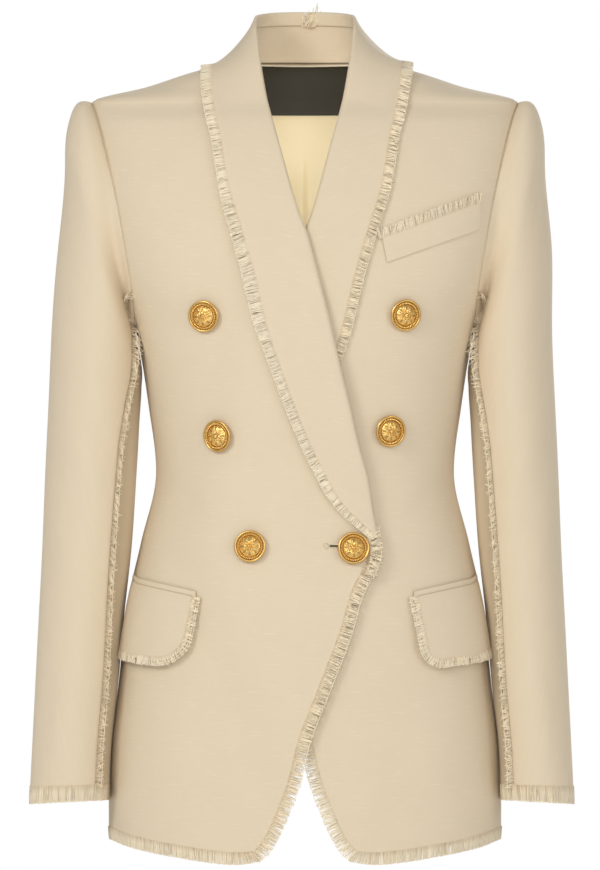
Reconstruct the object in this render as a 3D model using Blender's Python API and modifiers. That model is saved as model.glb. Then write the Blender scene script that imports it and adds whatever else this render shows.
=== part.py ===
"""Double-breasted blazer in its worn, hollow form.

Cloth walls with frayed trims and domed buttons. Left and right are the wearer's.
X runs to the wearer's left, Y to the back and Z up, with Z = 0 at the back neck seam.
Tables and sizes are in millimetres, and a mesh or an object's place is in metres.
"""

from math import acos, asin, copysign, cos, degrees, hypot, radians, sin

import bpy
from mathutils import Vector

MM = 0.001

# ---------------------------------------------------------------- sizes
CLOTH = 1.6           # wall of the fronts, backs and sleeves
LEAF = 1.4            # wall of the collar and lapels
THIN = 1.0            # wall of the lining and the label
TRIM = 1.2            # wall of a frayed edge
GAP = 0.3             # space left at a seam
EDGE_FRAY = 8.5       # reach of the frayed lapel and front edges
HEM_FRAY = 8.0        # reach of the frayed hem and cuffs
FLAP_FRAY = 5.0       # reach of the frayed flaps and breast welt
SEAM_FRAY = 5.2       # reach of the fray along a sleeve seam
OVERLAP_RISE = 7.2    # how far the lapping front stands off the one below
RISE_RAMP = 50.0      # width over which it comes to stand off
ROLL_TURN = 1.4       # turn of a lapel round its roll line
ROLL_BACKSET = 2.6    # cloth of a front stops this far behind the roll line
SHOULDER_TIP_Z = -36.0
UNDERARM_Z = -240.0
BREAK_Z = -415.0      # end of the turned-back lapel
HEM_SIDE_Z = -692.0
LINING_HEM_Z = -520.0   # just above the vent
VENT_TOP_Z = -540.0     # the centre back is open below this
VENT_HALF_WIDTH = 36.0  # how far each side of the vent hangs aside at the hem
VENT_CURVE = 1.3
LINING_DEPTH = 3.5    # from the outer form to the inner face of the lining
LINING_EDGE_DEPTH = 4.6
LABEL_DEPTH = 8.1     # from the outer form to the label at the centre back
LABEL_BOW = 0.003     # the label keeps further off the form by this times its distance squared
LABEL_HALF_WIDTH = 48.0
SEAM_TURN = 0.12      # angle of the body that each panel keeps clear of a seam
FRONT_COLUMNS = 6
BACK_COLUMNS = 6
CURVE_STEPS = 24      # points that a collar's curve is measured by

RIGHT, LEFT = -1, 1
SIDE_NAME = {RIGHT: "right", LEFT: "left"}

# z, half width, front depth, back depth, squareness of each level of the body
BODY_LEVELS = (
    (6, 46, 40, 56, 2.0),
    (0, 57.6, 50, 64, 2.0),
    (-6, 91, 57, 70, 2.0),
    (-22, 142, 60, 78, 2.0),
    (-36, 192, 66, 85, 2.0),
    (-54, 192, 80, 92, 2.35),
    (-87, 190, 96, 99, 2.5),
    (-125, 186, 108, 103, 2.6),
    (-165, 178, 116, 104, 2.6),
    (-207, 165, 119, 103, 2.55),
    (-240, 153, 119, 101, 2.45),
    (-308, 141.3, 114, 93, 2.35),
    (-369, 134.3, 108, 86, 2.3),
    (-433, 148, 110, 93, 2.3),
    (-490, 160.5, 113, 103, 2.3),
    (-563, 168.5, 116, 110, 2.3),
    (-617, 175.5, 118, 112, 2.3),
    (-661, 177, 119, 112, 2.3),
    (-730, 177, 120, 112, 2.3),
)
# z, distance of the armhole seam from the centre
ARMHOLE = (
    (-36, 192), (-54, 186), (-87, 178), (-125, 170), (-165, 163), (-207, 156.5),
    (-231, 153.8), (-240, 153),
)
# levels at which the armhole seam has its corners
ARMHOLE_STEPS = (-36, -40, -52, -74, -103, -137, -172, -207, -230, -240)
SEAM_STEP = 7         # the sleeve's two seams meet the armhole at this step
# z, place across of the roll line, on the lapping front
ROLL = (
    (0, -42), (-3, -40), (-22, -36.5), (-48, -30), (-81, -21), (-115, -12), (-141, -4),
    (-155, 2), (-184, 10), (-227, 21), (-267, 30), (-310, 40), (-343, 47), (-376, 55),
    (-402, 59), (-426, 63), (-448, 65),
)
# z, place across of the tip of the fray, on the lapel of the lapping front
LAPEL_TIP = (
    (-6, -92), (-22, -94), (-48, -91), (-68, -86), (-87, -83), (-116, -78), (-139, -71),
    (-161, -64), (-192, -55), (-212, -50), (-242, -43), (-270, -33.5), (-297, -24),
    (-321, -15), (-343, -6), (-367, 5), (-389, 16), (-404, 27), (-417, 40), (-429, 53),
)
# z, place across of the tip of the fray, on the edge of the lapping front
FRONT_TIP = (
    (-424, 66), (-448, 66), (-459, 62), (-483, 51), (-512, 43), (-564, 24), (-587, 15),
    (-614, 5), (-649, -3.5), (-678, -14.3), (-697, -22.8), (-708, -29.3), (-717, -38.5),
    (-722, -48),
)
# distance from the centre, z of the tip of the fray along the hem
HEM_TIP = (
    (36, -716.5), (42, -719.2), (48, -721), (62, -722), (90, -719.5), (115, -715.5), (140, -711),
    (160, -706), (176, -700),
)
HEM_CORNER_X = 48

# the collar round the neck, from the centre back forward:
# angle on the neck seam, then x, y, z of the roll, of the bend and of the tip of the fray,
# and how far the collar turns down inside the neck
COLLAR = (
    (180, 0.15, 58, 46, 0.15, 73, 34, 0.15, 76, -10, 12),
    (176, 3, 58, 46, 4, 73, 34, 5, 76, -10, 12),
    (150, 24, 52, 45.5, 32, 68, 33, 45, 70.5, -11, 12),
    (120, 39, 32, 44, 54, 42, 20, 80, 43.5, -7.5, 12),
    (93, 44, 5, 41, 60, 6, 0, 92, 5, -5, 12),
    (68, 44, -20, 29, 61, -22, -1, 93.5, -20, -6.5, 8),
    (48, 42.5, -37, 13, 64, -37, -4, 94, -36, -11.5, 3),
)
COLLAR_RISE = {RIGHT: 0.0, LEFT: 4.0}   # how much wider and higher the collar's edge stands
# z of the roll line at each further row of the lapel
LAPEL_ROWS = (-8, -22, -48, -81, -115, -141, -165, -195, -227, -267, -310, -343, -376, -400, -415)
# distance from the roll line, height of the lapel over the front
LAPEL_HEIGHTS = ((3, 1.3), (12, 1.4), (60, 1.9))
# the same for the lapel's first two columns, which turn round the roll
LAPEL_TURN = ((0.0, -1.4), (0.5, 0.8))
# how far the lapel's rows drop towards its edge: z of the roll line, drop
ROW_DROP = ((-8, 20), (-48, 20), (-155, 14), (-343, 6), (-415, 1))

# a sleeve's rings from the armhole down: outer x, outer z, inner x, inner z, centre y,
# half depth, front seam angle, back seam angle
SLEEVE_RINGS = (
    (203, -35.5, 156.5, -245, 0, 59, 149.6, 134),
    (212, -50, 153.5, -254, -1, 60, 148.9, 134),
    (216.5, -95, 150, -267, -2, 62.5, 144, 132),
    (222.5, -165, 147.5, -287, -3, 62, 141, 129),
    (228, -232, 148.6, -314, -4, 60.5, 135, 124),
    (231, -300, 150.3, -345, -5, 58, 127.6, 118),
    (234.5, -375, 152.5, -382, -7, 54, 124.5, 113),
    (237, -440, 156.5, -440, -11, 50.5, 123, 110),
    (240, -500, 163, -500, -17, 47, 127, 111),
    (243, -560, 168.2, -560, -23, 44, 130, 113),
    (246, -620, 174.5, -619, -28, 41.5, 131.5, 116),
    (247.8, -656, 176, -654, -30, 40.5, 131, 118),
)
CUFF_TIP = (248.8, -670, 176.5, -668, -30.5, 40.3, 131, 118)
SLEEVE_SLIM = {RIGHT: 0.0, LEFT: 5.8}   # how much nearer the body the sleeve hangs, low down
SLIM_TOP_Z = -165
SLIM_RAMP = 75.0      # height over which it comes nearer
SEAM_FRAY_ANGLE = 1.0   # from the front seam to the root of its fray
SEAM_FRAY_LIFT = 0.5    # from the under sleeve to its fray

# the four corners of a hip flap's fray, as distances from the centre and z
FLAP_TOP_FRONT = (92, -483)
FLAP_TOP_SIDE = (165, -467)
FLAP_LOW_FRONT = (103, -549)
FLAP_LOW_SIDE = (177, -538)
POCKET_LIFT = 0.9     # space under a pocket's pieces, which clears the panel's flat facets
FLAP_STAND = 5.5      # how much further off the panel a flap's low edge hangs
FLAP_TURN_X = 148     # past this distance a flap is measured round the body
FLAP_TURN_RATE = 0.49   # degrees round the body for each mm past it
FLAP_COLUMNS = 7
HIP_WELT_HEIGHT = 5.0
# the four corners of the breast pocket's welt, as place across and z
BREAST_WELT = ((66, -158), (157, -124), (71, -182), (156.5, -151))
WELT_LIFT = 0.4
FASTENED = "button_fastened"
# name, place across and z of each button's centre
BUTTONS = (
    ("button_top_right", -89.7, -229), ("button_top_left", 89, -228),
    ("button_middle_right", -75, -336), ("button_middle_left", 75.4, -332),
    ("button_low_right", -47.5, -436.5), (FASTENED, 42, -438),
)
# radius, height above the cloth, down a button's outer side from its crown
BUTTON_PROFILE = (
    (0.0, 7.2), (6.0, 6.6), (10.4, 4.6), (12.2, 5.4), (14.5, 4.0), (13.2, 2.4), (3.0, 2.2),
    (3.0, 0.0), (0.0, 0.0),
)
BUTTON_SEAT = 0.5     # space between a button's shank and the cloth
BUTTON_SIDES = 16

# name: colour, roughness, metallic
FINISHES = {
    "shell_cloth": ((0.76, 0.64, 0.47), 0.85, 0.0),
    "fringe_thread": ((0.83, 0.73, 0.55), 0.8, 0.0),
    "lining_satin": ((0.86, 0.74, 0.43), 0.4, 0.0),
    "label_ribbon": ((0.03, 0.03, 0.018), 0.6, 0.0),
    "gold_metal": ((0.78, 0.5, 0.12), 0.25, 1.0),
}


class Track:
    """A smooth value along a key, which never overshoots its table."""

    def __init__(self, table, column=1):
        pairs = sorted((row[0], row[column]) for row in table)
        self.keys = [key for key, _ in pairs]
        self.values = [value for _, value in pairs]
        steps = zip(pairs, pairs[1:])
        slopes = [(high[1] - low[1]) / (high[0] - low[0]) for low, high in steps]
        inner = [self.blend(a, b) for a, b in zip(slopes, slopes[1:])]
        self.slopes = [slopes[0]] + inner + [slopes[-1]]

    @staticmethod
    def blend(before, after):
        """Slope at a point between two stretches, flat where they turn."""
        if before * after <= 0:
            return 0.0
        return 2 * before * after / (before + after)

    def __call__(self, key):
        keys = self.keys
        if key <= keys[0]:
            return self.values[0]
        if key >= keys[-1]:
            return self.values[-1]
        index = max(i for i in range(len(keys) - 1) if keys[i] <= key)
        span = keys[index + 1] - keys[index]
        t = (key - keys[index]) / span
        start, end = self.values[index], self.values[index + 1]
        rise, fall = self.slopes[index] * span, self.slopes[index + 1] * span
        return (
            (2 * t ** 3 - 3 * t ** 2 + 1) * start + (t ** 3 - 2 * t ** 2 + t) * rise
            + (3 * t ** 2 - 2 * t ** 3) * end + (t ** 3 - t ** 2) * fall
        )


HALF_WIDTH = Track(BODY_LEVELS, 1)
FRONT_DEPTH = Track(BODY_LEVELS, 2)
BACK_DEPTH = Track(BODY_LEVELS, 3)
SQUARENESS = Track(BODY_LEVELS, 4)
ARMHOLE_X = Track(ARMHOLE)
ROLL_X = Track(ROLL)
LAPEL_TIP_X = Track(LAPEL_TIP)
FRONT_TIP_X = Track(FRONT_TIP)
HEM_TIP_Z = Track(HEM_TIP)
DROP = Track(ROW_DROP)
LAPEL_HEIGHT = Track(LAPEL_HEIGHTS)


# ---------------------------------------------------------------- the body's form
def skin(angle, z):
    """Point of the outer form: angle 0 is the centre front, 90 the left side, 180 the back."""
    power = 2 / SQUARENESS(z)
    turn = radians(angle)
    across = copysign(abs(sin(turn)) ** power, sin(turn))
    depth = abs(cos(turn)) ** power
    y = -FRONT_DEPTH(z) * depth if cos(turn) > 0 else BACK_DEPTH(z) * depth
    return Vector((HALF_WIDTH(z) * across, y, z))


def lifted(angle, z, out):
    """Point of the form moved out along its normal."""
    along = skin(angle + 0.5, z) - skin(angle - 0.5, z)
    up = skin(angle, z + 0.5) - skin(angle, z - 0.5)
    return skin(angle, z) + along.cross(up).normalized() * out


def angle_at(x, z):
    """Angle at which the front half of a level is x from the centre."""
    share = min(1.0, abs(x) / HALF_WIDTH(z))
    return copysign(degrees(asin(share ** (SQUARENESS(z) / 2))), x)


def inner_edge(z):
    """Place across of the lapping front's cloth edge: behind the roll, then the front edge."""
    if z >= BREAK_Z:
        return ROLL_X(z) - ROLL_BACKSET
    slope = (FRONT_TIP_X(z + 1) - FRONT_TIP_X(z - 1)) / 2
    return FRONT_TIP_X(z) - EDGE_FRAY * hypot(1, slope)


def rise(x, z, side):
    """How far a front stands off the form: the lapping one clears the edge of the other."""
    if side == LEFT:
        return 0.0
    end = -ROLL_X(z) - 8 if z >= BREAK_Z else -inner_edge(z) - 14
    t = min(1.0, max(0.0, 1 + (x - end) / RISE_RAMP))
    return OVERLAP_RISE * t * t * (3 - 2 * t)


def face(x, z, out, side):
    """Point on a front, x from the centre, moved out from its cloth."""
    return lifted(angle_at(x, z), z, out + rise(x, z, side))


def hem_z(x):
    """Level of the cloth's hem at a distance from the centre."""
    return HEM_TIP_Z(max(HEM_CORNER_X, abs(x))) + HEM_FRAY


# ---------------------------------------------------------------- making pieces
def finish(piece, kind):
    """Give a piece its own material of a kind."""
    colour, roughness, metallic = FINISHES[kind]
    material = bpy.data.materials.new(f"{piece.name}_{kind}")
    material.use_nodes = True
    shader = material.node_tree.nodes["Principled BSDF"]
    shader.inputs["Base Color"].default_value = (*colour, 1)
    shader.inputs["Roughness"].default_value = roughness
    shader.inputs["Metallic"].default_value = metallic
    material.diffuse_color = (*colour, 1)
    piece.data.materials.append(material)


def add_piece(name, mesh, kind):
    piece = bpy.data.objects.new(name, mesh)
    garment.objects.link(piece)
    finish(piece, kind)
    return piece


def shell(name, rows, wall, kind, outward=True, closed=False):
    """Open sheet through rows of points, given its wall by Solidify.

    Rows run down and their columns to the left, seen from outside, so that normals point out.
    """
    count = len(rows[0])
    points = [tuple(point * MM) for row in rows for point in row]
    faces = []
    for r in range(len(rows) - 1):
        for c in range(count if closed else count - 1):
            d = (c + 1) % count
            faces.append((r * count + c, (r + 1) * count + c, (r + 1) * count + d, r * count + d))
    mesh = bpy.data.meshes.new(name)
    mesh.from_pydata(points, [], faces)
    mesh.shade_smooth()
    piece = add_piece(name, mesh, kind)
    solid = piece.modifiers.new("wall", "SOLIDIFY")
    solid.thickness = wall * MM
    solid.offset = 1 if outward else -1
    return piece


def ordered(rows, side):
    """Turn rows that run away from the centre so that their normals point out."""
    return rows if side == LEFT else [row[::-1] for row in rows]


def steps(start, end, count):
    return [start + (end - start) * i / count for i in range(count + 1)]


# ---------------------------------------------------------------- fronts and backs
def armhole_angle(z):
    """Angle of the body panels' edge along the armhole, or of the side seam below it."""
    if z >= SHOULDER_TIP_Z or z <= UNDERARM_Z:
        return 90.0
    return angle_at(ARMHOLE_X(z + 0.45), z) - 0.25


FRONT_LEVELS = (
    (-0.3, -6, -13, -22, -29) + ARMHOLE_STEPS
    + (-262, -285, -308, -340, -372, -400, -415, -424, -448, -459, -470, -500, -530, -570, -605)
    + (-640, -675, -692, -702, -709, -714)
)
HEM_START_Z = -640.0


def towards_hem(z, x, last):
    """Stretch a level near the bottom so that the last one follows the hem."""
    if z >= HEM_START_Z:
        return z
    share = (z - HEM_START_Z) / (last - HEM_START_Z)
    return HEM_START_Z + share * (hem_z(x) - HEM_START_Z)


def front_row(side, z, drop=0.0):
    """Points of a front's inner face at a level, from its edge to its side."""
    inner = angle_at(-side * inner_edge(z), z)
    outer = side * (armhole_angle(z) - SEAM_TURN)
    row = []
    for angle in steps(inner, outer, FRONT_COLUMNS):
        x = skin(angle, z).x
        level = z if angle == inner else towards_hem(z, x, FRONT_LEVELS[-1])
        row.append(lifted(angle, level - drop, rise(x, z, side) - CLOTH))
    return row


def make_front(side):
    rows = [front_row(side, z) for z in FRONT_LEVELS]
    fronts[side] = shell(f"front_{SIDE_NAME[side]}", ordered(rows, side), CLOTH, "shell_cloth")


BACK_LEVELS = (
    (-0.3, -6, -13, -22, -29) + ARMHOLE_STEPS
    + (-274, -308, -340, -372, -410, -450, -495, -540, -572, -604, -636, -666)
)
LINING_LEVELS = [z for z in BACK_LEVELS[1:] if z > LINING_HEM_Z] + [LINING_HEM_Z]


def back_angles(z):
    """Angles of the left back's columns, from its side to the centre back or the vent."""
    share = max(0.0, (VENT_TOP_Z - z) / (VENT_TOP_Z - HEM_SIDE_Z))
    vent = angle_at(VENT_HALF_WIDTH * share ** VENT_CURVE, z)
    return steps(180 - armhole_angle(z) + SEAM_TURN, 180 - max(SEAM_TURN, vent), BACK_COLUMNS)


def make_back(side):
    rows = []
    for z in BACK_LEVELS + (HEM_SIDE_Z,):
        rows.append([lifted(side * angle, z, -CLOTH) for angle in back_angles(z)])
    shell(f"back_{SIDE_NAME[side]}", ordered(rows, side), CLOTH, "shell_cloth")


def make_back_lining():
    """Lining over the inner side of both backs, on every second column of theirs."""
    rows = []
    for z in LINING_LEVELS:
        half = back_angles(z)[:-1:2]
        angles = half + [180] + [360 - angle for angle in half[::-1]]
        depths = [LINING_EDGE_DEPTH] + [LINING_DEPTH] * (len(angles) - 2) + [LINING_EDGE_DEPTH]
        rows.append([lifted(angle, z, -depth) for angle, depth in zip(angles, depths)])
    shell("back_lining", rows, THIN, "lining_satin")


def make_neck_label():
    """Bare ribbon across the inside of the back, just under the neck seam."""
    rows = []
    for z in (-2.5, -9, -20, -34, -47):
        across = steps(LABEL_HALF_WIDTH, -LABEL_HALF_WIDTH, 5)
        depths = [LABEL_DEPTH + LABEL_BOW * x * x for x in across]
        points = [skin(180 - angle_at(x, z), z) for x in across]
        rows.append([point - Vector((0, depth, 0)) for point, depth in zip(points, depths)])
    shell("neck_label", rows, THIN, "label_ribbon")


# ---------------------------------------------------------------- collar and lapels
def neck_seam(angle):
    """Foot of the collar stand on the inner side of the neck seam."""
    edge = skin(angle, 0)
    return edge - edge.normalized() * CLOTH


def collar_row(side, row, cuts):
    """Row round the neck: down inside, over the roll and out along a bend to the tip."""
    angle, *places, inside = row
    triples = zip(places[0::3], places[1::3], places[2::3])
    roll, bend, tip = (Vector((side * x, y, z)) for x, y, z in triples)
    lift = COLLAR_RISE[side] * min(1.0, (180 - angle) / 90)
    bend += Vector((side * lift / 2, 0, lift / 2))
    tip += Vector((side * lift, 0, lift))
    start = roll + (neck_seam(side * angle) - roll).normalized() * inside
    shares = steps(0, 1, CURVE_STEPS)
    curve = [roll.lerp(bend, share).lerp(bend.lerp(tip, share), share) for share in shares]
    lengths = [0.0]
    for low, high in zip(curve, curve[1:]):
        lengths.append(lengths[-1] + (high - low).length)
    tracks = [Track([(reach, point[axis]) for reach, point in zip(lengths, curve)]) for axis in range(3)]
    points = [start, roll]
    for cut in cuts(lengths[-1]):
        points.append(Vector([track(cut * lengths[-1]) for track in tracks]))
    return points


def lapel_row(side, z, cuts):
    """Row across a lapel: round the roll line and over the front to the tip of the fray."""
    roll_x = ROLL_X(z) - ROLL_TURN
    tip_z = z - DROP(z)
    tip_x = LAPEL_TIP_X(tip_z)
    flip = 1 if side == RIGHT else -1
    length = hypot(roll_x - tip_x, z - tip_z)
    columns = [(reach / length, height) for reach, height in LAPEL_TURN]
    columns += [(cut, LAPEL_HEIGHT(cut * length)) for cut in cuts(length)]
    points = []
    for share, out in columns:
        x = flip * (roll_x + (tip_x - roll_x) * share)
        points.append(face(x, z + (tip_z - z) * share, out, side))
    return points


def leaf_cuts(length):
    """Shares of a row from the roll to the edge of the cloth."""
    cloth = 1 - EDGE_FRAY / length
    return (LAPEL_HEIGHTS[0][0] / length, cloth * 0.35, cloth * 0.68, cloth)


def fray_cuts(length):
    """Shares of a row from just past the edge of the cloth to the tip of the fray."""
    return (1 - (EDGE_FRAY - GAP) / length, 1)


def collar_rows(side, cuts):
    round_neck = [collar_row(side, row, cuts) for row in COLLAR]
    return round_neck + [lapel_row(side, z, cuts) for z in LAPEL_ROWS]


def make_collar(side):
    name = SIDE_NAME[side]
    rows = collar_rows(side, leaf_cuts)
    shell(f"shawl_collar_{name}", ordered(rows, side), LEAF, "shell_cloth")
    tips = [row[2:] for row in collar_rows(side, fray_cuts)]
    shell(f"lapel_fringe_{name}", ordered(tips, side), TRIM, "fringe_thread")


def make_collar_stand():
    """Band from the neck seam up to the collar's turn, thinning out towards the front."""
    half = []
    for angle, *places, inside in COLLAR:
        seam = neck_seam(angle)
        roll = Vector(places[:3])
        reach = 1 - (inside + GAP) / (roll - seam).length
        half.append([seam.lerp(roll, share) + Vector((0, 0, GAP)) for share in (reach, reach / 2, 0)])
    mirrored = [[Vector((-p.x, p.y, p.z)) for p in column] for column in half[1:]]
    columns = half[::-1] + mirrored
    shell("collar_stand", [list(row) for row in zip(*columns)], CLOTH, "shell_cloth")


def make_collar_tuft():
    """Small fray that stands up at the centre back of the collar, on its inner side."""
    inner_side = COLLAR[0][2] - GAP - TRIM - 0.8
    roll_z = COLLAR[0][3]
    rows = [[Vector((x, inner_side, roll_z + up)) for x in (8, 0)] for up in (6, 0, -11)]
    shell("collar_tuft", rows, TRIM, "fringe_thread", outward=False)


# ---------------------------------------------------------------- edges
def make_front_edge_fringe(side):
    """Fray beyond a front's cloth edge, on the same levels as the front."""
    rows = []
    for z in FRONT_LEVELS[FRONT_LEVELS.index(-424):]:
        start = inner_edge(z) + GAP * 1.3
        rows.append([face(-side * x, z, -CLOTH, side) for x in (start, FRONT_TIP_X(z))])
    shell(f"front_edge_fringe_{SIDE_NAME[side]}", ordered(rows, -side), TRIM, "fringe_thread")


def make_hem_fringes():
    for side in (RIGHT, LEFT):
        rows = []
        for drop in (GAP, HEM_FRAY):
            corner = []
            for x in (38, 43):
                z = HEM_TIP_Z(x) if drop == HEM_FRAY else FRONT_LEVELS[-1] - GAP
                corner.append(face(side * x, z, -CLOTH, side))
            rows.append(corner + front_row(side, FRONT_LEVELS[-1], drop))
        shell(f"hem_fringe_front_{SIDE_NAME[side]}", ordered(rows, side), TRIM, "fringe_thread")
        rows = []
        for z in (HEM_SIDE_Z - GAP, HEM_SIDE_Z - HEM_FRAY):
            rows.append([lifted(side * angle, z, -CLOTH) for angle in back_angles(HEM_SIDE_Z)])
        shell(f"hem_fringe_back_{SIDE_NAME[side]}", ordered(rows, side), TRIM, "fringe_thread")


# ---------------------------------------------------------------- sleeves
def step_angle(z):
    """Angle round the armhole at a level: 0 at the shoulder tip, 180 at the underarm."""
    middle = (SHOULDER_TIP_Z + UNDERARM_Z) / 2
    half = (SHOULDER_TIP_Z - UNDERARM_Z) / 2
    return degrees(acos(min(1.0, max(-1.0, (z - middle) / half))))


STEP_ANGLES = [step_angle(z) for z in ARMHOLE_STEPS]
SEAM_ANGLE = STEP_ANGLES[SEAM_STEP]


def armhole_point(side, angle):
    """Corner line of the armhole at an angle, forward where the angle is positive."""
    turn = abs(angle)
    spans = list(zip(STEP_ANGLES, STEP_ANGLES[1:]))
    index = max(i for i, span in enumerate(spans) if span[0] <= turn + 1e-6)
    low, high = spans[index]
    corners = []
    for z in ARMHOLE_STEPS[index:index + 2]:
        body_angle = angle_at(ARMHOLE_X(z), z)
        if angle < 0:
            body_angle = 180 - body_angle
        corners.append(skin(side * body_angle, z) + Vector((side * GAP, 0, 0)))
    return corners[0].lerp(corners[1], min(1.0, (turn - low) / (high - low)))


def sleeve_point(side, ring, angle):
    """Point of a ring: angle 0 is outermost, 90 the front, 180 next to the body."""
    if ring is None:
        return armhole_point(side, angle)
    outer_x, outer_z, inner_x, inner_z, y, depth = ring[:6]
    outer_x -= SLEEVE_SLIM[side] * min(1.0, max(0.0, (SLIM_TOP_Z - outer_z) / SLIM_RAMP))
    turn = radians(angle)
    x = (outer_x + inner_x) / 2 + (outer_x - inner_x) / 2 * cos(turn)
    z = (outer_z + inner_z) / 2 + (outer_z - inner_z) / 2 * cos(turn)
    return Vector((side * x, y - depth * sin(turn), z))


def seam_angles(ring):
    return (SEAM_ANGLE, SEAM_ANGLE) if ring is None else ring[6:8]


def seam_space(ring):
    """Angle left to each side of a sleeve seam, wider at the armhole where the cloth turns most."""
    if ring is None:
        return 2.0
    return 0.8 if ring in SLEEVE_RINGS[:2] else 0.35


def top_angles(ring):
    """Angles of the top sleeve's columns, from its back seam over the top to its front seam."""
    front, back = seam_angles(ring)
    space = seam_space(ring)
    spread = [angle / SEAM_ANGLE for angle in STEP_ANGLES[:SEAM_STEP]]
    forward = [share * front for share in spread] + [front - 4, front - space]
    backward = [-share * back for share in spread[1:]] + [-back + 4, -back + space]
    return backward[::-1] + forward


def under_angles(ring):
    """Angles of the under sleeve's columns, from its front seam under the arm to its back seam."""
    front, back = seam_angles(ring)
    space = seam_space(ring)
    spread = [(180 - angle) / (180 - SEAM_ANGLE) for angle in STEP_ANGLES[SEAM_STEP + 1:-1]]
    near = [front + space, front + 4] + [180 - share * (180 - front) for share in spread]
    far = [-180 + share * (180 - back) for share in spread[::-1]] + [-back - 4, -back - space]
    return near + [180] + far


def make_sleeve(side):
    name = SIDE_NAME[side]
    rings = (None,) + SLEEVE_RINGS
    for piece, angles in (("top", top_angles), ("under", under_angles)):
        rows = [[sleeve_point(side, ring, angle) for angle in angles(ring)] for ring in rings]
        shell(f"{piece}_sleeve_{name}", ordered(rows, -side), CLOTH, "shell_cloth", outward=False)
    cuff = SLEEVE_RINGS[-1]
    start = (cuff[0], cuff[1] - GAP, cuff[2], cuff[3] - GAP) + cuff[4:]
    turn = steps(0, 360, 16)[:-1]
    rows = [[sleeve_point(side, ring, angle) for angle in turn] for ring in (start, CUFF_TIP)]
    rows = ordered(rows, -side)
    shell(f"cuff_fringe_{name}", rows, TRIM, "fringe_thread", outward=False, closed=True)


def make_sleeve_seam_fringe(side):
    """Fray that lies on the under sleeve, along the front seam."""
    rows = []
    for ring in SLEEVE_RINGS[1:]:
        middle = Vector((side * (ring[0] + ring[2]) / 2, ring[4], (ring[1] + ring[3]) / 2))
        start = ring[6] + SEAM_FRAY_ANGLE
        width = degrees(SEAM_FRAY / ring[5])
        row = []
        for angle in (start, start + width):
            point = sleeve_point(side, ring, angle)
            away = point - middle
            away.z = 0
            row.append(point + away.normalized() * SEAM_FRAY_LIFT)
        rows.append(row)
    shell(f"sleeve_seam_fringe_{SIDE_NAME[side]}", ordered(rows, -side), TRIM, "fringe_thread")


# ---------------------------------------------------------------- pockets
def pocket_point(x, z, out, side):
    """Point over a front, measured round the body where it turns away to the side."""
    near = min(x, FLAP_TURN_X)
    angle = angle_at(near, z) + (x - near) * FLAP_TURN_RATE
    return lifted(side * angle, z, out + rise(side * near, z, side))


def between(a, b, share):
    return tuple(p + (q - p) * share for p, q in zip(a, b))


def patch(corners, across, down):
    """Place across and z at shares of a four-cornered patch."""
    top = between(corners[0], corners[1], across)
    low = between(corners[2], corners[3], across)
    return between(top, low, down)


def make_hip_pocket(side):
    name = SIDE_NAME[side]
    corners = (FLAP_TOP_FRONT, FLAP_TOP_SIDE, FLAP_LOW_FRONT, FLAP_LOW_SIDE)
    width = hypot(FLAP_TOP_SIDE[0] - FLAP_TOP_FRONT[0], FLAP_TOP_SIDE[1] - FLAP_TOP_FRONT[1])
    height = FLAP_TOP_FRONT[1] - FLAP_LOW_FRONT[1]
    front_cut, low_cut = FLAP_FRAY / width, 1 - FLAP_FRAY / height

    def point(across, down):
        x, z = patch(corners, across, down)
        return pocket_point(x, z, POCKET_LIFT + FLAP_STAND * down ** 0.7, side)

    columns = steps(front_cut, 1, FLAP_COLUMNS)
    rows = [[point(a, d) for a in columns] for d in steps(0, low_cut, 3)]
    shell(f"hip_flap_{name}", ordered(rows, side), CLOTH, "shell_cloth")
    gap = GAP / height
    front = [(0.0, d, front_cut - gap, d) for d in steps(0, low_cut, 3)]
    corner = [(0.0, 1.0, front_cut - gap, low_cut + gap)]
    low = [(a, 1.0, a, low_cut + gap) for a in steps(front_cut + 0.1, 1, FLAP_COLUMNS)]
    ring = front + corner + low
    rows = [[point(a, d) for a, d, _, _ in ring], [point(a, d) for _, _, a, d in ring]]
    shell(f"flap_fringe_{name}", ordered(rows, side)[::-1], TRIM, "fringe_thread")
    rows = []
    for drop in (-HIP_WELT_HEIGHT - GAP, -GAP):
        ends = (FLAP_TOP_FRONT, FLAP_TOP_SIDE)
        row = [between(*ends, share) for share in steps(0.07, 1, FLAP_COLUMNS)]
        rows.append([pocket_point(x, z - drop, POCKET_LIFT, side) for x, z in row])
    shell(f"hip_welt_{name}", ordered(rows, side), THIN, "shell_cloth")


def make_breast_pocket():
    def band(low, high):
        rows = []
        for down in (low, (low + high) / 2, high):
            row = [patch(BREAST_WELT, across, down) for across in steps(0.03, 1, 6)]
            rows.append([face(x, z, WELT_LIFT, LEFT) for x, z in row])
        return rows

    height = BREAST_WELT[0][1] - BREAST_WELT[2][1]
    shell("breast_welt", band(0, 1), TRIM, "shell_cloth")
    shell("breast_fringe", band(-FLAP_FRAY / height, -GAP / height), TRIM, "fringe_thread")


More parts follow.
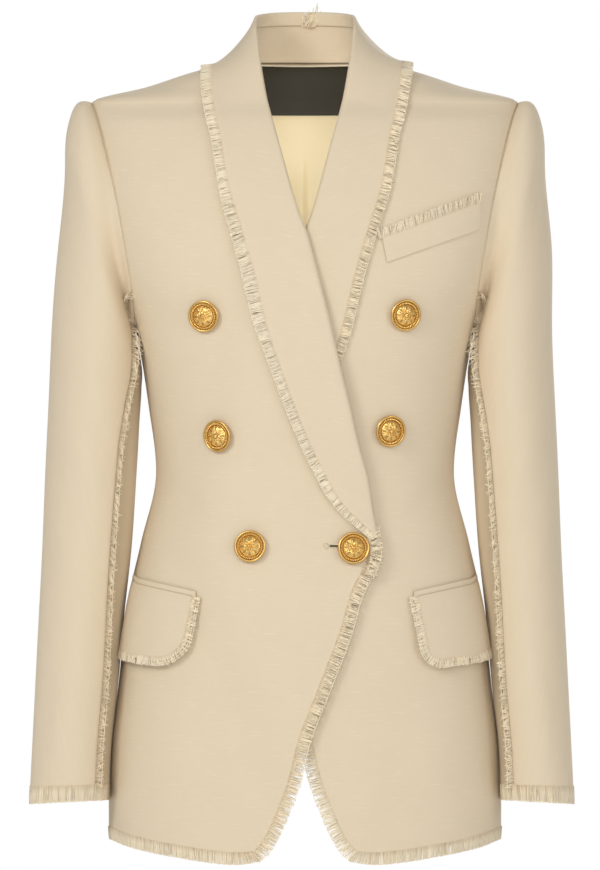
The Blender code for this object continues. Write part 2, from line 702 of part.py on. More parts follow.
# ---------------------------------------------------------------- buttons
def make_button(name, x, z):
    """Domed button turned from its profile, standing on its shank along the cloth's normal."""
    mesh = bpy.data.meshes.new(name)
    points = [(radius * MM, 0, height * MM) for radius, height in BUTTON_PROFILE]
    mesh.from_pydata(points, [(i, i + 1) for i in range(len(points) - 1)], [])
    button = add_piece(name, mesh, "gold_metal")
    turned = button.modifiers.new("turned", "SCREW")
    turned.steps = turned.render_steps = BUTTON_SIDES
    turned.use_merge_vertices = True
    turned.merge_threshold = 1e-5
    front = fronts[RIGHT if x < 0 or name == FASTENED else LEFT]
    away = Vector((x * MM, -1, z * MM))
    layers = bpy.context.evaluated_depsgraph_get()
    _, spot, normal, _ = front.ray_cast(away, Vector((0, 1, 0)), depsgraph=layers)
    button.location = spot + normal * BUTTON_SEAT * MM
    button.rotation_euler = normal.to_track_quat("Z", "Y").to_euler()


for old in list(bpy.data.objects):
    bpy.data.objects.remove(old, do_unlink=True)
garment = bpy.data.collections.new("double_breasted_blazer")
bpy.context.scene.collection.children.link(garment)
fronts = {}

for wearer_side in (RIGHT, LEFT):
    make_front(wearer_side)
    make_back(wearer_side)
    make_sleeve(wearer_side)
    make_sleeve_seam_fringe(wearer_side)
    make_collar(wearer_side)
    make_front_edge_fringe(wearer_side)
    make_hip_pocket(wearer_side)
make_back_lining()
make_neck_label()
make_collar_stand()
make_collar_tuft()
make_hem_fringes()
make_breast_pocket()
for button_row in BUTTONS:
    make_button(*button_row)
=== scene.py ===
"""Double-breasted blazer: worn cloth, frayed edges, lining, label and domed buttons.

Left and right are the wearer's. X runs to the wearer's left, Y to the back and Z up, with
Z = 0 at the back neck seam. Tables and fields are in millimetres and degrees unless a name
says otherwise, and meshes are in metres. What lies on a panel is made from its points.
"""

import logging
from collections.abc import Callable
from dataclasses import dataclass, field
from enum import Enum

import bpy
import numpy as np
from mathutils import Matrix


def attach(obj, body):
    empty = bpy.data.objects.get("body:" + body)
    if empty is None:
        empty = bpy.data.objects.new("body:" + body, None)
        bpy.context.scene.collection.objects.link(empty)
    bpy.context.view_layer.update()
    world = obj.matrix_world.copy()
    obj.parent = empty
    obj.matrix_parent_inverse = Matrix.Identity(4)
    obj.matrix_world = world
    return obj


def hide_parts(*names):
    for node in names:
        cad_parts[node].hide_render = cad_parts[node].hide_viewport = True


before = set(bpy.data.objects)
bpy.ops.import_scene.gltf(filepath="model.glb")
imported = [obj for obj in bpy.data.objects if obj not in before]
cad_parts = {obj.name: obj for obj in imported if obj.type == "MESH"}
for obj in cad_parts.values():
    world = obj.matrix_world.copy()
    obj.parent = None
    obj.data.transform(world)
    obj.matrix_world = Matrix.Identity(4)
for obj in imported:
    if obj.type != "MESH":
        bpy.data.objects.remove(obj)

Array, Piece = np.ndarray, bpy.types.Object
Socket, Material = bpy.types.NodeSocket, bpy.types.Material
Colour = tuple[float, float, float]
Feed = float | tuple | Socket     # what an input of a node is given
MM = 0.001
FAR = 9.0                         # distance from a sewn line at which nothing shows of it
log = logging.getLogger("blazer")


class Side(Enum):
    """The wearer's side, whose value is the sign of its place across."""

    RIGHT = -1
    LEFT = 1

    @property
    def word(self) -> str:
        """Name of the side as the nodes have it."""
        return self.name.lower()

    @property
    def is_right(self) -> bool:
        """Whether it is the right side, where a body panel's columns run the other way."""
        return self is Side.RIGHT


class Slot(Enum):
    """The record's material slots."""

    CLOTH = "shell_cloth"
    FRINGE = "fringe_thread"
    LINING = "lining_satin"
    LABEL = "label_ribbon"
    GOLD = "gold_metal"


def per_side(right: float, left: float) -> dict:
    """A dataclass field that has its own value on each side."""
    return field(default_factory=lambda: {Side.RIGHT: right, Side.LEFT: left})


# ---- curves and vectors
class Track:
    """A smooth value along a key, which never overshoots its table."""

    def __init__(self, table: tuple, column: int = 1) -> None:
        """Read one column of a table of rows whose first entry is the key.

        Args:
            table: rows of numbers in any order.
            column: which entry of a row is the value.
        """
        rows = sorted(table)
        self.keys = np.array([row[0] for row in rows], float)
        self.values = np.array([row[column] for row in rows], float)
        slopes = np.diff(self.values) / np.diff(self.keys)
        product = slopes[:-1] * slopes[1:]
        total = slopes[:-1] + slopes[1:]
        inner = np.where(product > 0, 2 * product / np.where(total == 0, 1, total), 0)
        self.slopes = np.concatenate([slopes[:1], inner, slopes[-1:]])

    def __call__(self, key: Array) -> Array:
        """Values at the keys, held level beyond the table's ends."""
        key = np.clip(key, self.keys[0], self.keys[-1])
        index = np.clip(np.searchsorted(self.keys, key, side="right") - 1, 0, len(self.keys) - 2)
        span = self.keys[index + 1] - self.keys[index]
        t = (key - self.keys[index]) / span
        start, end = self.values[index], self.values[index + 1]
        rise, fall = self.slopes[index] * span, self.slopes[index + 1] * span
        return (
            (2 * t ** 3 - 3 * t ** 2 + 1) * start + (t ** 3 - 2 * t ** 2 + t) * rise
            + (3 * t ** 2 - 2 * t ** 3) * end + (t ** 3 - t ** 2) * fall
        )


def spline(knots: Array, values: Array, places: Array) -> Array:
    """Natural cubic spline.

    Args:
        knots: rising places of the known values.
        values: known values, one row a knot.
        places: where the spline is read.

    Returns:
        One row of values for each place.
    """
    values = np.asarray(values, float)
    gaps = np.diff(knots)
    count = len(knots)
    matrix = np.eye(count)
    right = np.zeros((count,) + values.shape[1:])
    slopes = np.diff(values, axis=0) / gaps.reshape((-1,) + (1,) * (values.ndim - 1))
    for i in range(1, count - 1):
        matrix[i, i - 1:i + 2] = gaps[i - 1], 2 * (gaps[i - 1] + gaps[i]), gaps[i]
        right[i] = 6 * (slopes[i] - slopes[i - 1])
    bends = np.linalg.solve(matrix, right.reshape(count, -1)).reshape(right.shape)
    index = np.clip(np.searchsorted(knots, places, side="right") - 1, 0, count - 2)
    shape = (-1,) + (1,) * (values.ndim - 1)
    span = gaps[index].reshape(shape)
    far = (np.asarray(places) - knots[index]).reshape(shape)
    near = span - far
    return (
        bends[index] * near ** 3 / (6 * span) + bends[index + 1] * far ** 3 / (6 * span)
        + (values[index] / span - bends[index] * span / 6) * near
        + (values[index + 1] / span - bends[index + 1] * span / 6) * far
    )


def unit(vectors: Array) -> Array:
    """Vectors brought to length one."""
    return vectors / np.maximum(np.linalg.norm(vectors, axis=-1, keepdims=True), 1e-9)


def travelled(points: Array, axis: int = 0) -> Array:
    """Distance travelled along one axis of a grid of points, from its first one."""
    legs = np.linalg.norm(np.diff(points, axis=axis), axis=-1)
    start = np.zeros_like(np.take(legs, [0], axis=axis))
    return np.concatenate([start, np.cumsum(legs, axis=axis)], axis=axis)


def smooth_step(low: float, high: float, value: Array) -> Array:
    """Soft change from 0 to 1 as the value goes from low to high."""
    t = np.clip((value - low) / (high - low), 0, 1)
    return t * t * (3 - 2 * t)


def crowded(count: int, near: float) -> Array:
    """Shares from 0 to 1 that crowd at the start, and are even where near is 0."""
    t = np.linspace(0, 1, count + 1)
    return t + (1 - np.cos(np.pi * t / 2) - t) * near


def read_path(places: Array, gone: Array, points: Array) -> Array:
    """Points of a path at distances along it, where gone is the distance of each known point."""
    return np.stack([np.interp(places, gone, column) for column in points.T], -1)


def outward(surface: Callable[[float], Array]) -> Array:
    """Unit vectors out of a surface, whose points are given for a distance out of it."""
    return unit(surface(1.0) - surface(0.0))


def grid_normals(points: Array, flip: bool) -> Array:
    """Unit normals of a grid whose rows run down and columns to the left, seen from outside.

    Args:
        points: rows, columns, xyz.
        flip: true where the columns run the other way.

    Returns:
        One normal for each point, pointing out.
    """
    down = np.gradient(points, axis=0)
    along = np.gradient(points, axis=1)
    normals = unit(np.cross(down, along))
    return -normals if flip else normals


# ---- the wearer's form
@dataclass
class BodyForm:
    """Rounded levels of the general figure that the blazer is filled out by."""

    # z, half width, front depth, back depth, squareness
    levels: tuple = (
        (6, 46, 40, 56, 2.0),
        (0, 57.6, 50, 64, 2.0),
        (-6, 91, 57, 70, 2.0),
        (-22, 142, 60, 78, 2.0),
        (-36, 192, 66, 85, 2.0),
        (-54, 192, 80, 92, 2.35),
        (-87, 190, 96, 99, 2.5),
        (-125, 186, 108, 103, 2.6),
        (-165, 178, 116, 104, 2.6),
        (-207, 165, 119, 103, 2.55),
        (-240, 153, 119, 101, 2.45),
        (-308, 141.3, 114, 93, 2.35),
        (-369, 134.3, 108, 86, 2.3),
        (-433, 148, 110, 93, 2.3),
        (-490, 160.5, 113, 103, 2.3),
        (-563, 168.5, 116, 110, 2.3),
        (-617, 175.5, 118, 112, 2.3),
        (-661, 177, 119, 112, 2.3),
        (-730, 177, 120, 112, 2.3),
    )
    probe: float = 0.5        # step that a normal is measured over

    def __post_init__(self) -> None:
        """Turn the table's columns into tracks."""
        columns = [Track(self.levels, column) for column in (1, 2, 3, 4)]
        self.half_width, self.front_depth, self.back_depth, self.squareness = columns

    def skin(self, angle: Array, z: Array) -> Array:
        """Points of the form: angle 0 is the centre front, 90 the left side, 180 the back."""
        angle, z = np.broadcast_arrays(np.asarray(angle, float), np.asarray(z, float))
        turn = np.radians(angle)
        power = 2 / self.squareness(z)
        sine, cosine = np.sin(turn), np.cos(turn)
        across = np.sign(sine) * np.abs(sine) ** power
        depth = np.abs(cosine) ** power
        y = np.where(cosine > 0, -self.front_depth(z) * depth, self.back_depth(z) * depth)
        return np.stack([self.half_width(z) * across, y, z], axis=-1)

    def lifted(self, angle: Array, z: Array, out: Array) -> Array:
        """Points of the form moved out along its normal."""
        step = self.probe
        along = self.skin(angle + step, z) - self.skin(angle - step, z)
        up = self.skin(angle, z + step) - self.skin(angle, z - step)
        out = np.asarray(out, float)[..., None]
        return self.skin(angle, z) + unit(np.cross(along, up)) * out

    def angle_at(self, x: Array, z: Array) -> Array:
        """Angles at which the front half of a level is x from the centre."""
        share = np.minimum(1.0, np.abs(x) / self.half_width(z))
        return np.sign(x) * np.degrees(np.arcsin(share ** (self.squareness(z) / 2)))


@dataclass(frozen=True)
class Crease:
    """One soft ridge or trough in a surface, placed in the surface's own two measures."""

    start: tuple[float, float]
    end: tuple[float, float]
    height: float             # out of the surface, and less than zero for a trough
    width: float
    bow: float = 0.0          # how far its middle stands off the straight line

    def height_at(self, across: Array, along: Array) -> Array:
        """Height that the crease gives each place."""
        run = np.subtract(self.end, self.start)
        length = np.hypot(*run)
        gone = ((across - self.start[0]) * run[0] + (along - self.start[1]) * run[1]) / length ** 2
        aside = ((across - self.start[0]) * run[1] - (along - self.start[1]) * run[0]) / length
        inside = np.clip(gone, 0, 1)
        aside = aside - self.bow * 4 * inside * (1 - inside)
        return self.height * np.sin(np.pi * inside) ** 2 * np.exp(-(aside / self.width) ** 2)


def relief(creases: tuple, across: Array, along: Array) -> Array:
    """Height that all of a panel's creases give each place."""
    return sum(crease.height_at(across, along) for crease in creases)


@dataclass
class Cut:
    """Cut lines of the fronts, collar and hem, and the creases of the body's cloth."""

    form: BodyForm
    edge_fray: float = 8.5
    hem_fray: float = 8.0
    shoulder_z: float = -36.0     # top of the armhole
    underarm_z: float = -240.0    # foot of the armhole
    # how far the lapping front stands off, the width that it rises over, and how far past
    # the under front's roll line and past its edge it starts to
    overlap_rise: float = 7.2
    rise_ramp: float = 50.0
    rise_past_roll: float = 8.0
    rise_past_edge: float = 14.0
    roll_backset: float = 2.6     # from the roll line to the front's own edge behind the lapel
    break_z: float = -415.0       # where the roll line ends
    break_ramp: float = 14.0
    hem_start_z: float = -640.0
    hem_corner_x: float = 48.0
    hem_front_z: float = -714.0
    hem_side_z: float = -692.0
    seam_gap: float = 0.3
    seam_turn: float = 0.12       # angle from a side seam to a panel's edge
    armhole_lift: float = 0.45    # how much higher a panel's edge reads the armhole seam
    armhole_turn: float = 0.25    # angle from the armhole seam to a panel's edge
    turn_depth: float = 34.0      # how far the shoulder's close rows go down past its tip
    shoulder_rows: int = 34
    turn_rows: int = 18
    lower_rows: int = 150
    hem_rows: tuple = (3.2, 1.6, 0.6, 0.0)
    # z, distance of the armhole seam from the centre
    armhole: tuple = (
        (-36, 192), (-54, 186), (-87, 178), (-125, 170), (-165, 163), (-207, 156.5),
        (-231, 153.8), (-240, 153),
    )
    # z, place across of the roll line, on the lapping front
    roll: tuple = (
        (0, -42), (-3, -40), (-22, -36.5), (-48, -30), (-81, -21), (-115, -12), (-141, -4),
        (-155, 2), (-184, 10), (-227, 21), (-267, 30), (-310, 40), (-343, 47), (-376, 55),
        (-402, 59), (-426, 63), (-448, 65),
    )
    # z, place across of the tip of the fray, on the lapel of the lapping front
    lapel_tip: tuple = (
        (-6, -92), (-22, -94), (-48, -91), (-68, -86), (-87, -83), (-116, -78), (-139, -71),
        (-161, -64), (-192, -55), (-212, -50), (-242, -43), (-270, -33.5), (-297, -24),
        (-321, -15), (-343, -6), (-367, 5), (-389, 16), (-404, 27), (-417, 40), (-429, 53),
    )
    # z, place across of the tip of the fray, on the edge of the lapping front
    front_tip: tuple = (
        (-424, 66), (-448, 66), (-459, 62), (-483, 51), (-512, 43), (-564, 24), (-587, 15),
        (-614, 5), (-649, -3.5), (-678, -14.3), (-697, -22.8), (-708, -29.3), (-717, -38.5),
        (-722, -48),
    )
    # distance from the centre, z of the tip of the fray along the hem
    hem_tip: tuple = (
        (36, -716.5), (42, -719.2), (48, -721), (62, -722), (90, -719.5), (115, -715.5),
        (140, -711), (160, -706), (176, -700),
    )
    # place across and z of each crease's two ends on either front, where x > 0 is towards
    # the side that the front is on
    front_creases: tuple = (
        Crease((170, -62), (108, -128), -0.9, 13, 6),
        Crease((158, -196), (112, -236), -1.1, 12, -4),
        Crease((152, -252), (96, -262), 0.8, 10, 3),
        Crease((132, -352), (66, -424), 0.7, 11, 5),
        Crease((136, -384), (52, -437), -0.7, 9, 3),
        Crease((140, -414), (70, -446), 0.6, 9, -3),
        Crease((118, -560), (126, -702), 1.1, 17, 4),
        Crease((84, -520), (76, -690), -0.7, 19, -5),
    )
    # the same for the backs
    back_creases: tuple = (
        Crease((160, -74), (86, -150), -1.2, 15, -8),
        Crease((150, -205), (70, -262), -1.3, 15, 8),
        Crease((120, -330), (18, -352), 1.3, 9, -4),
        Crease((124, -366), (30, -380), -1.5, 10, 3),
        Crease((116, -402), (26, -404), 0.9, 9, 4),
        Crease((60, -450), (72, -640), -1.1, 22, 6),
        Crease((112, -470), (132, -668), 1.4, 20, -5),
        Crease((26, -540), (22, -680), 1.0, 16, 3),
    )

    def __post_init__(self) -> None:
        """Turn the tables into tracks."""
        self.armhole_x = Track(self.armhole)
        self.roll_x = Track(self.roll)
        self.lapel_tip_x = Track(self.lapel_tip)
        self.front_tip_x = Track(self.front_tip)
        self.hem_tip_z = Track(self.hem_tip)

    def front_slope(self, z: Array) -> Array:
        """How far the lapping front's edge moves across for each millimetre up."""
        return (self.front_tip_x(z + 1) - self.front_tip_x(z - 1)) / 2

    def inner_edge(self, z: Array) -> Array:
        """Place across of the lapping front's cloth edge: behind the roll, then the front."""
        z = np.asarray(z, float)
        edge = self.front_tip_x(z) - self.edge_fray * np.hypot(1, self.front_slope(z))
        return np.where(z >= self.break_z, self.roll_x(z) - self.roll_backset, edge)

    def rise(self, x: Array, z: Array, side: Side) -> Array:
        """How far a front stands off the form: the lapping one clears the edge of the other."""
        if not side.is_right:
            return np.zeros(np.broadcast(x, z).shape)
        above = -self.roll_x(z) - self.rise_past_roll
        below = -self.inner_edge(np.minimum(z, self.break_z - 1)) - self.rise_past_edge
        mix = smooth_step(self.break_z - self.break_ramp, self.break_z + self.break_ramp, z)
        end = below + (above - below) * mix
        return self.overlap_rise * smooth_step(-1, 0, (x - end) / self.rise_ramp)

    def front_height(self, x: Array, z: Array, side: Side, out: Array = 0.0) -> Array:
        """Height over the form of what stands out from a front's cloth, creases and all."""
        return out + self.rise(x, z, side) + relief(self.front_creases, x * side.value, z)

    def face(self, x: Array, z: Array, out: Array, side: Side) -> Array:
        """Points on a front, x from the centre, moved out from its cloth."""
        height = self.front_height(x, z, side, out)
        return self.form.lifted(self.form.angle_at(x, z), z, height)

    def hem_z(self, x: Array) -> Array:
        """Level of the cloth's hem at a distance from the centre."""
        return self.hem_tip_z(np.maximum(self.hem_corner_x, np.abs(x))) + self.hem_fray

    def towards_hem(self, z: Array, x: Array) -> Array:
        """Levels near the bottom stretched so that the last one follows the hem."""
        share = np.clip((z - self.hem_start_z) / (self.hem_front_z - self.hem_start_z), 0, 1)
        return np.where(share > 0, self.hem_start_z + share * (self.hem_z(x) - self.hem_start_z), z)

    def armhole_angle(self, z: Array) -> Array:
        """Angle of the body panels' edge along the armhole, or of the side seam below it."""
        seam = self.form.angle_at(self.armhole_x(z + self.armhole_lift), z)
        beside = (z >= self.shoulder_z) | (z <= self.underarm_z)
        return np.where(beside, 90.0, seam - self.armhole_turn)

    def panel_levels(self, last: float) -> Array:
        """Levels of a body panel's rows, close together on the shoulder and at the hem."""
        tops = np.linspace(0, self.shoulder_z, 400)
        widths = self.form.half_width(tops)
        reach = np.linspace(widths[0] + 1, widths[-1], self.shoulder_rows)[:-1]
        shoulder = np.interp(reach, widths, tops)
        quarter = np.linspace(0, np.pi / 2, self.turn_rows)
        turn = self.shoulder_z - self.turn_depth * (1 - np.cos(quarter))
        lower = np.linspace(turn[-1], last, self.lower_rows)[1:-1]
        levels = np.concatenate([shoulder, turn, lower, last + np.array(self.hem_rows)])
        return np.unique(np.round(np.minimum(levels, -0.3), 4))[::-1]


# ---- finishes
class Wiring:
    """Adds and joins the nodes of one tree."""

    def __init__(self, tree: bpy.types.NodeTree) -> None:
        """Keep the tree that nodes are added to."""
        self.tree = tree

    def add(self, kind: str, feeds: dict | None = None, **settings: object) -> bpy.types.Node:
        """Add a node.

        Args:
            kind: the node's type name.
            feeds: input name or number to a value, or to a socket that is joined to it.
            settings: properties of the node.

        Returns:
            The new node.
        """
        node = self.tree.nodes.new(kind)
        for name, value in settings.items():
            setattr(node, name, value)
        self.feed(node, feeds or {})
        return node

    def out(self, kind: str, feeds: dict | None = None, **settings: object) -> Socket:
        """First output of a new node."""
        return self.add(kind, feeds, **settings).outputs[0]

    def feed(self, node: bpy.types.Node, feeds: dict) -> None:
        """Set a node's inputs, or join sockets to them."""
        for key, value in feeds.items():
            if isinstance(value, Socket):
                self.tree.links.new(value, node.inputs[key])
            else:
                node.inputs[key].default_value = value

    def math(self, operation: str, *values: Feed) -> Socket:
        """Result of a Math node on one to three values."""
        return self.add("ShaderNodeMath", dict(enumerate(values)), operation=operation).outputs[0]

    def times(self, *values: Feed) -> Socket:
        """Product of two values."""
        return self.math("MULTIPLY", *values)

    def plus(self, *values: Feed) -> Socket:
        """Sum of two values."""
        return self.math("ADD", *values)

    def vector(self, operation: str, feeds: dict) -> Socket:
        """Result of a Vector Math node."""
        return self.out("ShaderNodeVectorMath", feeds, operation=operation)

    def moved(self, vector: Feed, by: Feed) -> Socket:
        """A vector with another one added."""
        return self.vector("ADD", {0: vector, 1: by})

    def scaled(self, vector: Feed, by: Feed) -> Socket:
        """A vector or a colour times a value."""
        return self.vector("SCALE", {0: vector, "Scale": by})

    def colour_mix(self, factor: Feed, low: Feed, high: Colour) -> Socket:
        """Mix of two colours by a factor."""
        feeds = {0: factor, 6: low, 7: (*high, 1)}
        return self.add("ShaderNodeMix", feeds, data_type="RGBA").outputs[2]

    def between(self, value: Feed, low: float, high: float, start: float = 0.0,
                end: float = 1.0) -> Socket:
        """Soft change from start to end as the value goes from low to high."""
        feeds = {0: value, 1: low, 2: high, 3: start, 4: end}
        return self.out("ShaderNodeMapRange", feeds, interpolation_type="SMOOTHSTEP")

    def own(self, name: str) -> Socket:
        """A number that the mesh carries."""
        return self.add("ShaderNodeAttribute", attribute_name=name).outputs["Fac"]

    def place(self) -> Socket:
        """Place on the object, in metres."""
        return self.add("ShaderNodeTexCoord").outputs["Object"]

    def measures(self) -> Socket:
        """Place on the cloth's own measures, in metres."""
        return self.out("ShaderNodeUVMap", uv_map="cloth")

    def noise(self, place: Socket, scale: float, detail: float = 2.0) -> Socket:
        """Soft random value from 0 to 1."""
        feeds = {"Vector": place, "Scale": scale, "Detail": detail}
        return self.add("ShaderNodeTexNoise", feeds).outputs["Fac"]

    def centred(self, place: Socket, scale: float, detail: float) -> Socket:
        """Soft random value around 0."""
        return self.math("SUBTRACT", self.noise(place, scale, detail), 0.5)

    def bump(self, height: Socket, strength: float, distance: float) -> Socket:
        """Normal of a surface with a small height on it."""
        feeds = {"Strength": strength, "Distance": distance, "Height": height}
        return self.out("ShaderNodeBump", feeds)

    def woven(self, **values: float) -> tuple[Socket, Socket]:
        """Tone and height of woven cloth, along the piece's own measures."""
        node = self.add("ShaderNodeGroup", node_tree=woven_group())
        self.feed(node, {"Place": self.measures(), **values})
        return node.outputs["Tone"], node.outputs["Height"]


def woven_group() -> bpy.types.NodeTree:
    """Plain weave with slubs and a faint unevenness, on a surface's own measures in metres.

    Returns:
        A group whose outputs are Tone, around 1, and Height, from 0 to 1.
    """
    name = "woven cloth"
    if name in bpy.data.node_groups:
        return bpy.data.node_groups[name]
    tree = bpy.data.node_groups.new(name, "ShaderNodeTree")
    face = tree.interface
    face.new_socket("Place", in_out="INPUT", socket_type="NodeSocketVector")
    defaults = {"Pitch": 0.0008, "Weave": 0.03, "Slub": 0.05, "Unevenness": 0.04}
    for label, value in defaults.items():
        face.new_socket(label, in_out="INPUT", socket_type="NodeSocketFloat").default_value = value
    for label in ("Tone", "Height"):
        face.new_socket(label, in_out="OUTPUT", socket_type="NodeSocketFloat")
    w = Wiring(tree)
    given = w.add("NodeGroupInput").outputs
    place = given["Place"]
    split = w.add("ShaderNodeSeparateXYZ", {0: place})
    drift = w.times(w.centred(place, 160.0, 2.0), 2.2)
    waves = []
    for axis in (0, 1):
        count = w.math("DIVIDE", split.outputs[axis], given["Pitch"])
        turn = w.times(w.plus(count, drift), float(np.pi))
        waves.append(w.math("SINE", turn))
    over = w.between(w.times(*waves), -0.25, 0.25)
    warp, weft = [w.math("ABSOLUTE", wave) for wave in waves]
    weave = w.out("ShaderNodeMix", {0: over, 2: weft, 3: warp})
    slubs = []
    for stretch, low, high in (((55.0, 820.0, 0.0), 0.56, 0.74), ((900.0, 42.0, 0.0), 0.60, 0.78)):
        stretched = w.vector("MULTIPLY", {0: place, 1: stretch})
        slubs.append(w.between(w.noise(stretched, 1.0, 3.0), low, high))
    slub = w.math("MULTIPLY_ADD", slubs[1], 0.45, slubs[0])
    tone = 1.0
    shade = w.math("SUBTRACT", weave, 0.5)
    uneven = w.centred(place, 22.0, 4.0)
    for part, label in ((uneven, "Unevenness"), (slub, "Slub"), (shade, "Weave")):
        tone = w.math("MULTIPLY_ADD", part, given[label], tone)
    height = w.math("MULTIPLY_ADD", slub, 0.35, w.times(weave, 0.65))
    w.add("NodeGroupOutput", {"Tone": tone, "Height": height})
    return tree


@dataclass(frozen=True)
class Finish:
    """A material, with some of its shader's sockets set and the others painted by nodes."""

    name = "finish"
    plain = {}

    def material(self) -> Material:
        """Build the material."""
        material = bpy.data.materials.new(self.name)
        material.use_nodes = True
        w = Wiring(material.node_tree)
        w.feed(w.tree.nodes["Principled BSDF"], {**self.paint(w), **self.plain})
        return material

    def paint(self, w: Wiring) -> dict[str, Socket]:
        """What is joined to each painted socket."""
        return {}


@dataclass(frozen=True)
class LinenFinish(Finish):
    """Dry, matt plain-woven cloth with light slubs, darker at sewn lines, and painted shade on
    under sleeves.
    """

    colour: Colour = (0.76, 0.635, 0.455)
    # colour and strength of the sewn lines, and of the painted shade across the under sleeves
    line_and_shade_colour: Colour = (0.34, 0.25, 0.13)
    line_and_shade_depth: float = 0.5
    name = "linen"
    plain = {"Roughness": 0.88, "Specular IOR Level": 0.22, "Sheen Weight": 0.12,
             "Sheen Roughness": 0.6}

    def paint(self, w: Wiring) -> dict[str, Socket]:
        """Woven tone, darker and a little lower near a sewn line and across the under sleeves'
        painted shade.
        """
        tone, height = w.woven(Pitch=0.0009, Slub=0.075)
        # painted shade: on an under sleeve the mark spreads over a wide band from its front seam
        near = w.between(w.math("ABSOLUTE", w.own("sewn_line")), 1.0, 0.15)
        line_and_shade = w.times(near, self.line_and_shade_depth)
        base = w.scaled(self.colour, tone)
        normal = w.bump(w.math("SUBTRACT", height, line_and_shade), 0.35, 0.0002)
        return {"Base Color": w.colour_mix(line_and_shade, base, self.line_and_shade_colour), "Normal": normal}


@dataclass(frozen=True)
class ThreadFinish(Finish):
    """Loose yarns, as the cloth at their roots, lighter towards their ends, with painted shade on
    the yarns in the gaps.
    """

    root: Colour = (0.87, 0.73, 0.525)
    tip: Colour = (1.0, 0.875, 0.655)
    # painted shade: colour of the low yarns, which stands in for the shadow in the gaps between
    # bunches
    gap: Colour = (0.17, 0.1, 0.03)
    name = "loose yarn"
    plain = {"Roughness": 0.8, "Specular IOR Level": 0.05}

    def paint(self, w: Wiring) -> dict[str, Socket]:
        """Yarns by their own tone, and the low ones in the gaps painted dark down to their roots as
        shade.
        """
        along, which = w.own("along"), w.own("yarn")
        base = w.colour_mix(w.between(along, 0.0, 0.5), (*self.root, 1), self.tip)
        # painted shade: a yarn whose tone is below zero darkens towards the gap colour
        low = w.math("POWER", w.math("MAXIMUM", w.times(which, -1.0), 0.0), 1.7)
        base = w.colour_mix(w.times(low, w.between(along, 1.0, 0.6)), base, self.gap)
        twist = w.noise(w.place(), 2400.0, 1.0)
        tone = w.math("MULTIPLY_ADD", w.math("MAXIMUM", which, 0.0), 0.24, 0.86)
        tone = w.math("MULTIPLY_ADD", w.math("SUBTRACT", twist, 0.5), 0.3, tone)
        return {"Base Color": w.scaled(base, tone), "Normal": w.bump(twist, 1.0, 0.0001)}


@dataclass(frozen=True)
class SatinFinish(Finish):
    """Smooth lining with a soft sheen across its fine warp."""

    colour: Colour = (0.88, 0.75, 0.46)
    name = "lining satin"
    plain = {"Roughness": 0.42, "Specular IOR Level": 0.45, "Sheen Weight": 0.25,
             "Sheen Roughness": 0.3}

    def paint(self, w: Wiring) -> dict[str, Socket]:
        """Fine, nearly even threads."""
        tone, height = w.woven(Pitch=0.0003, Weave=0.01, Slub=0.02, Unevenness=0.08)
        base = w.scaled(self.colour, tone)
        return {"Base Color": base, "Normal": w.bump(height, 0.12, 0.0002)}


@dataclass(frozen=True)
class RibbonFinish(Finish):
    """Bare, near-black woven ribbon with a fine rib."""

    colour: Colour = (0.034, 0.031, 0.02)
    edge: Colour = (0.88, 0.78, 0.58)
    edge_width: float = 0.0011    # of the pale stitched edge along the top
    name = "label ribbon"
    plain = {"Roughness": 0.6, "Specular IOR Level": 0.3}

    def paint(self, w: Wiring) -> dict[str, Socket]:
        """Ribbed threads, with a pale edge at the top."""
        tone, height = w.woven(Pitch=0.0004, Weave=0.2, Slub=0.06, Unevenness=0.15)
        down = w.add("ShaderNodeSeparateXYZ", {0: w.measures()}).outputs[1]
        on_edge = w.math("GREATER_THAN", down, -self.edge_width)
        base = w.colour_mix(on_edge, w.scaled(self.colour, tone), self.edge)
        return {"Base Color": base, "Normal": w.bump(height, 0.4, 0.0001)}


@dataclass(frozen=True)
class GiltFinish(Finish):
    """Gilt metal, polished where it stands up and dark in the hollows."""

    bright: Colour = (0.93, 0.60, 0.20)
    dark: Colour = (0.30, 0.15, 0.03)
    name = "gilt"
    plain = {"Metallic": 1.0}

    def paint(self, w: Wiring) -> dict[str, Socket]:
        """Gilt by how far each place is raised, with a little wear."""
        worn = w.noise(w.place(), 700.0, 4.0)
        mask = w.math("MULTIPLY_ADD", w.math("SUBTRACT", worn, 0.5), 0.35, w.own("raised"))
        mask = w.between(mask, 0.0, 0.62)
        return {
            "Base Color": w.colour_mix(mask, (*self.dark, 1), self.bright),
            "Roughness": w.between(mask, 0.0, 1.0, 0.5, 0.26), "Normal": w.bump(worn, 0.35, 0.0001),
        }


@dataclass(frozen=True)
class DarkFinish(Finish):
    """Painted shade: a near-black stand-in for the unlit inside of a slit."""

    colour: Colour = (0.03, 0.022, 0.012)
    name = "slit"
    plain = {"Roughness": 0.95}

    def paint(self, w: Wiring) -> dict[str, Socket]:
        """Nearly black painted shade, a little uneven."""
        tone = w.plus(w.noise(w.place(), 900.0), 0.5)
        return {"Base Color": w.scaled(self.colour, tone)}


@dataclass(frozen=True)
class FloorFinish(Finish):
    """Pale, matt floor."""

    name = "floor"
    plain = {"Base Color": (0.9, 0.9, 0.9, 1), "Roughness": 0.9}


# ---- pieces of cloth
def new_piece(name: str, points: Array, faces: list, material: Material | None = None,
              edges: tuple | list = ()) -> Piece:
    """An object of plain mesh.

    Args:
        name: the piece's name.
        points: its points, in millimetres.
        faces: numbers of each face's points.
        material: its finish, if it gets it here.
        edges: numbers of each loose edge's points.

    Returns:
        The object, in the scene.
    """
    mesh = bpy.data.meshes.new(name)
    mesh.from_pydata((points * MM).tolist(), edges, faces)
    if material:
        mesh.materials.append(material)
    piece = bpy.data.objects.new(name, mesh)
    bpy.context.scene.collection.objects.link(piece)
    return piece


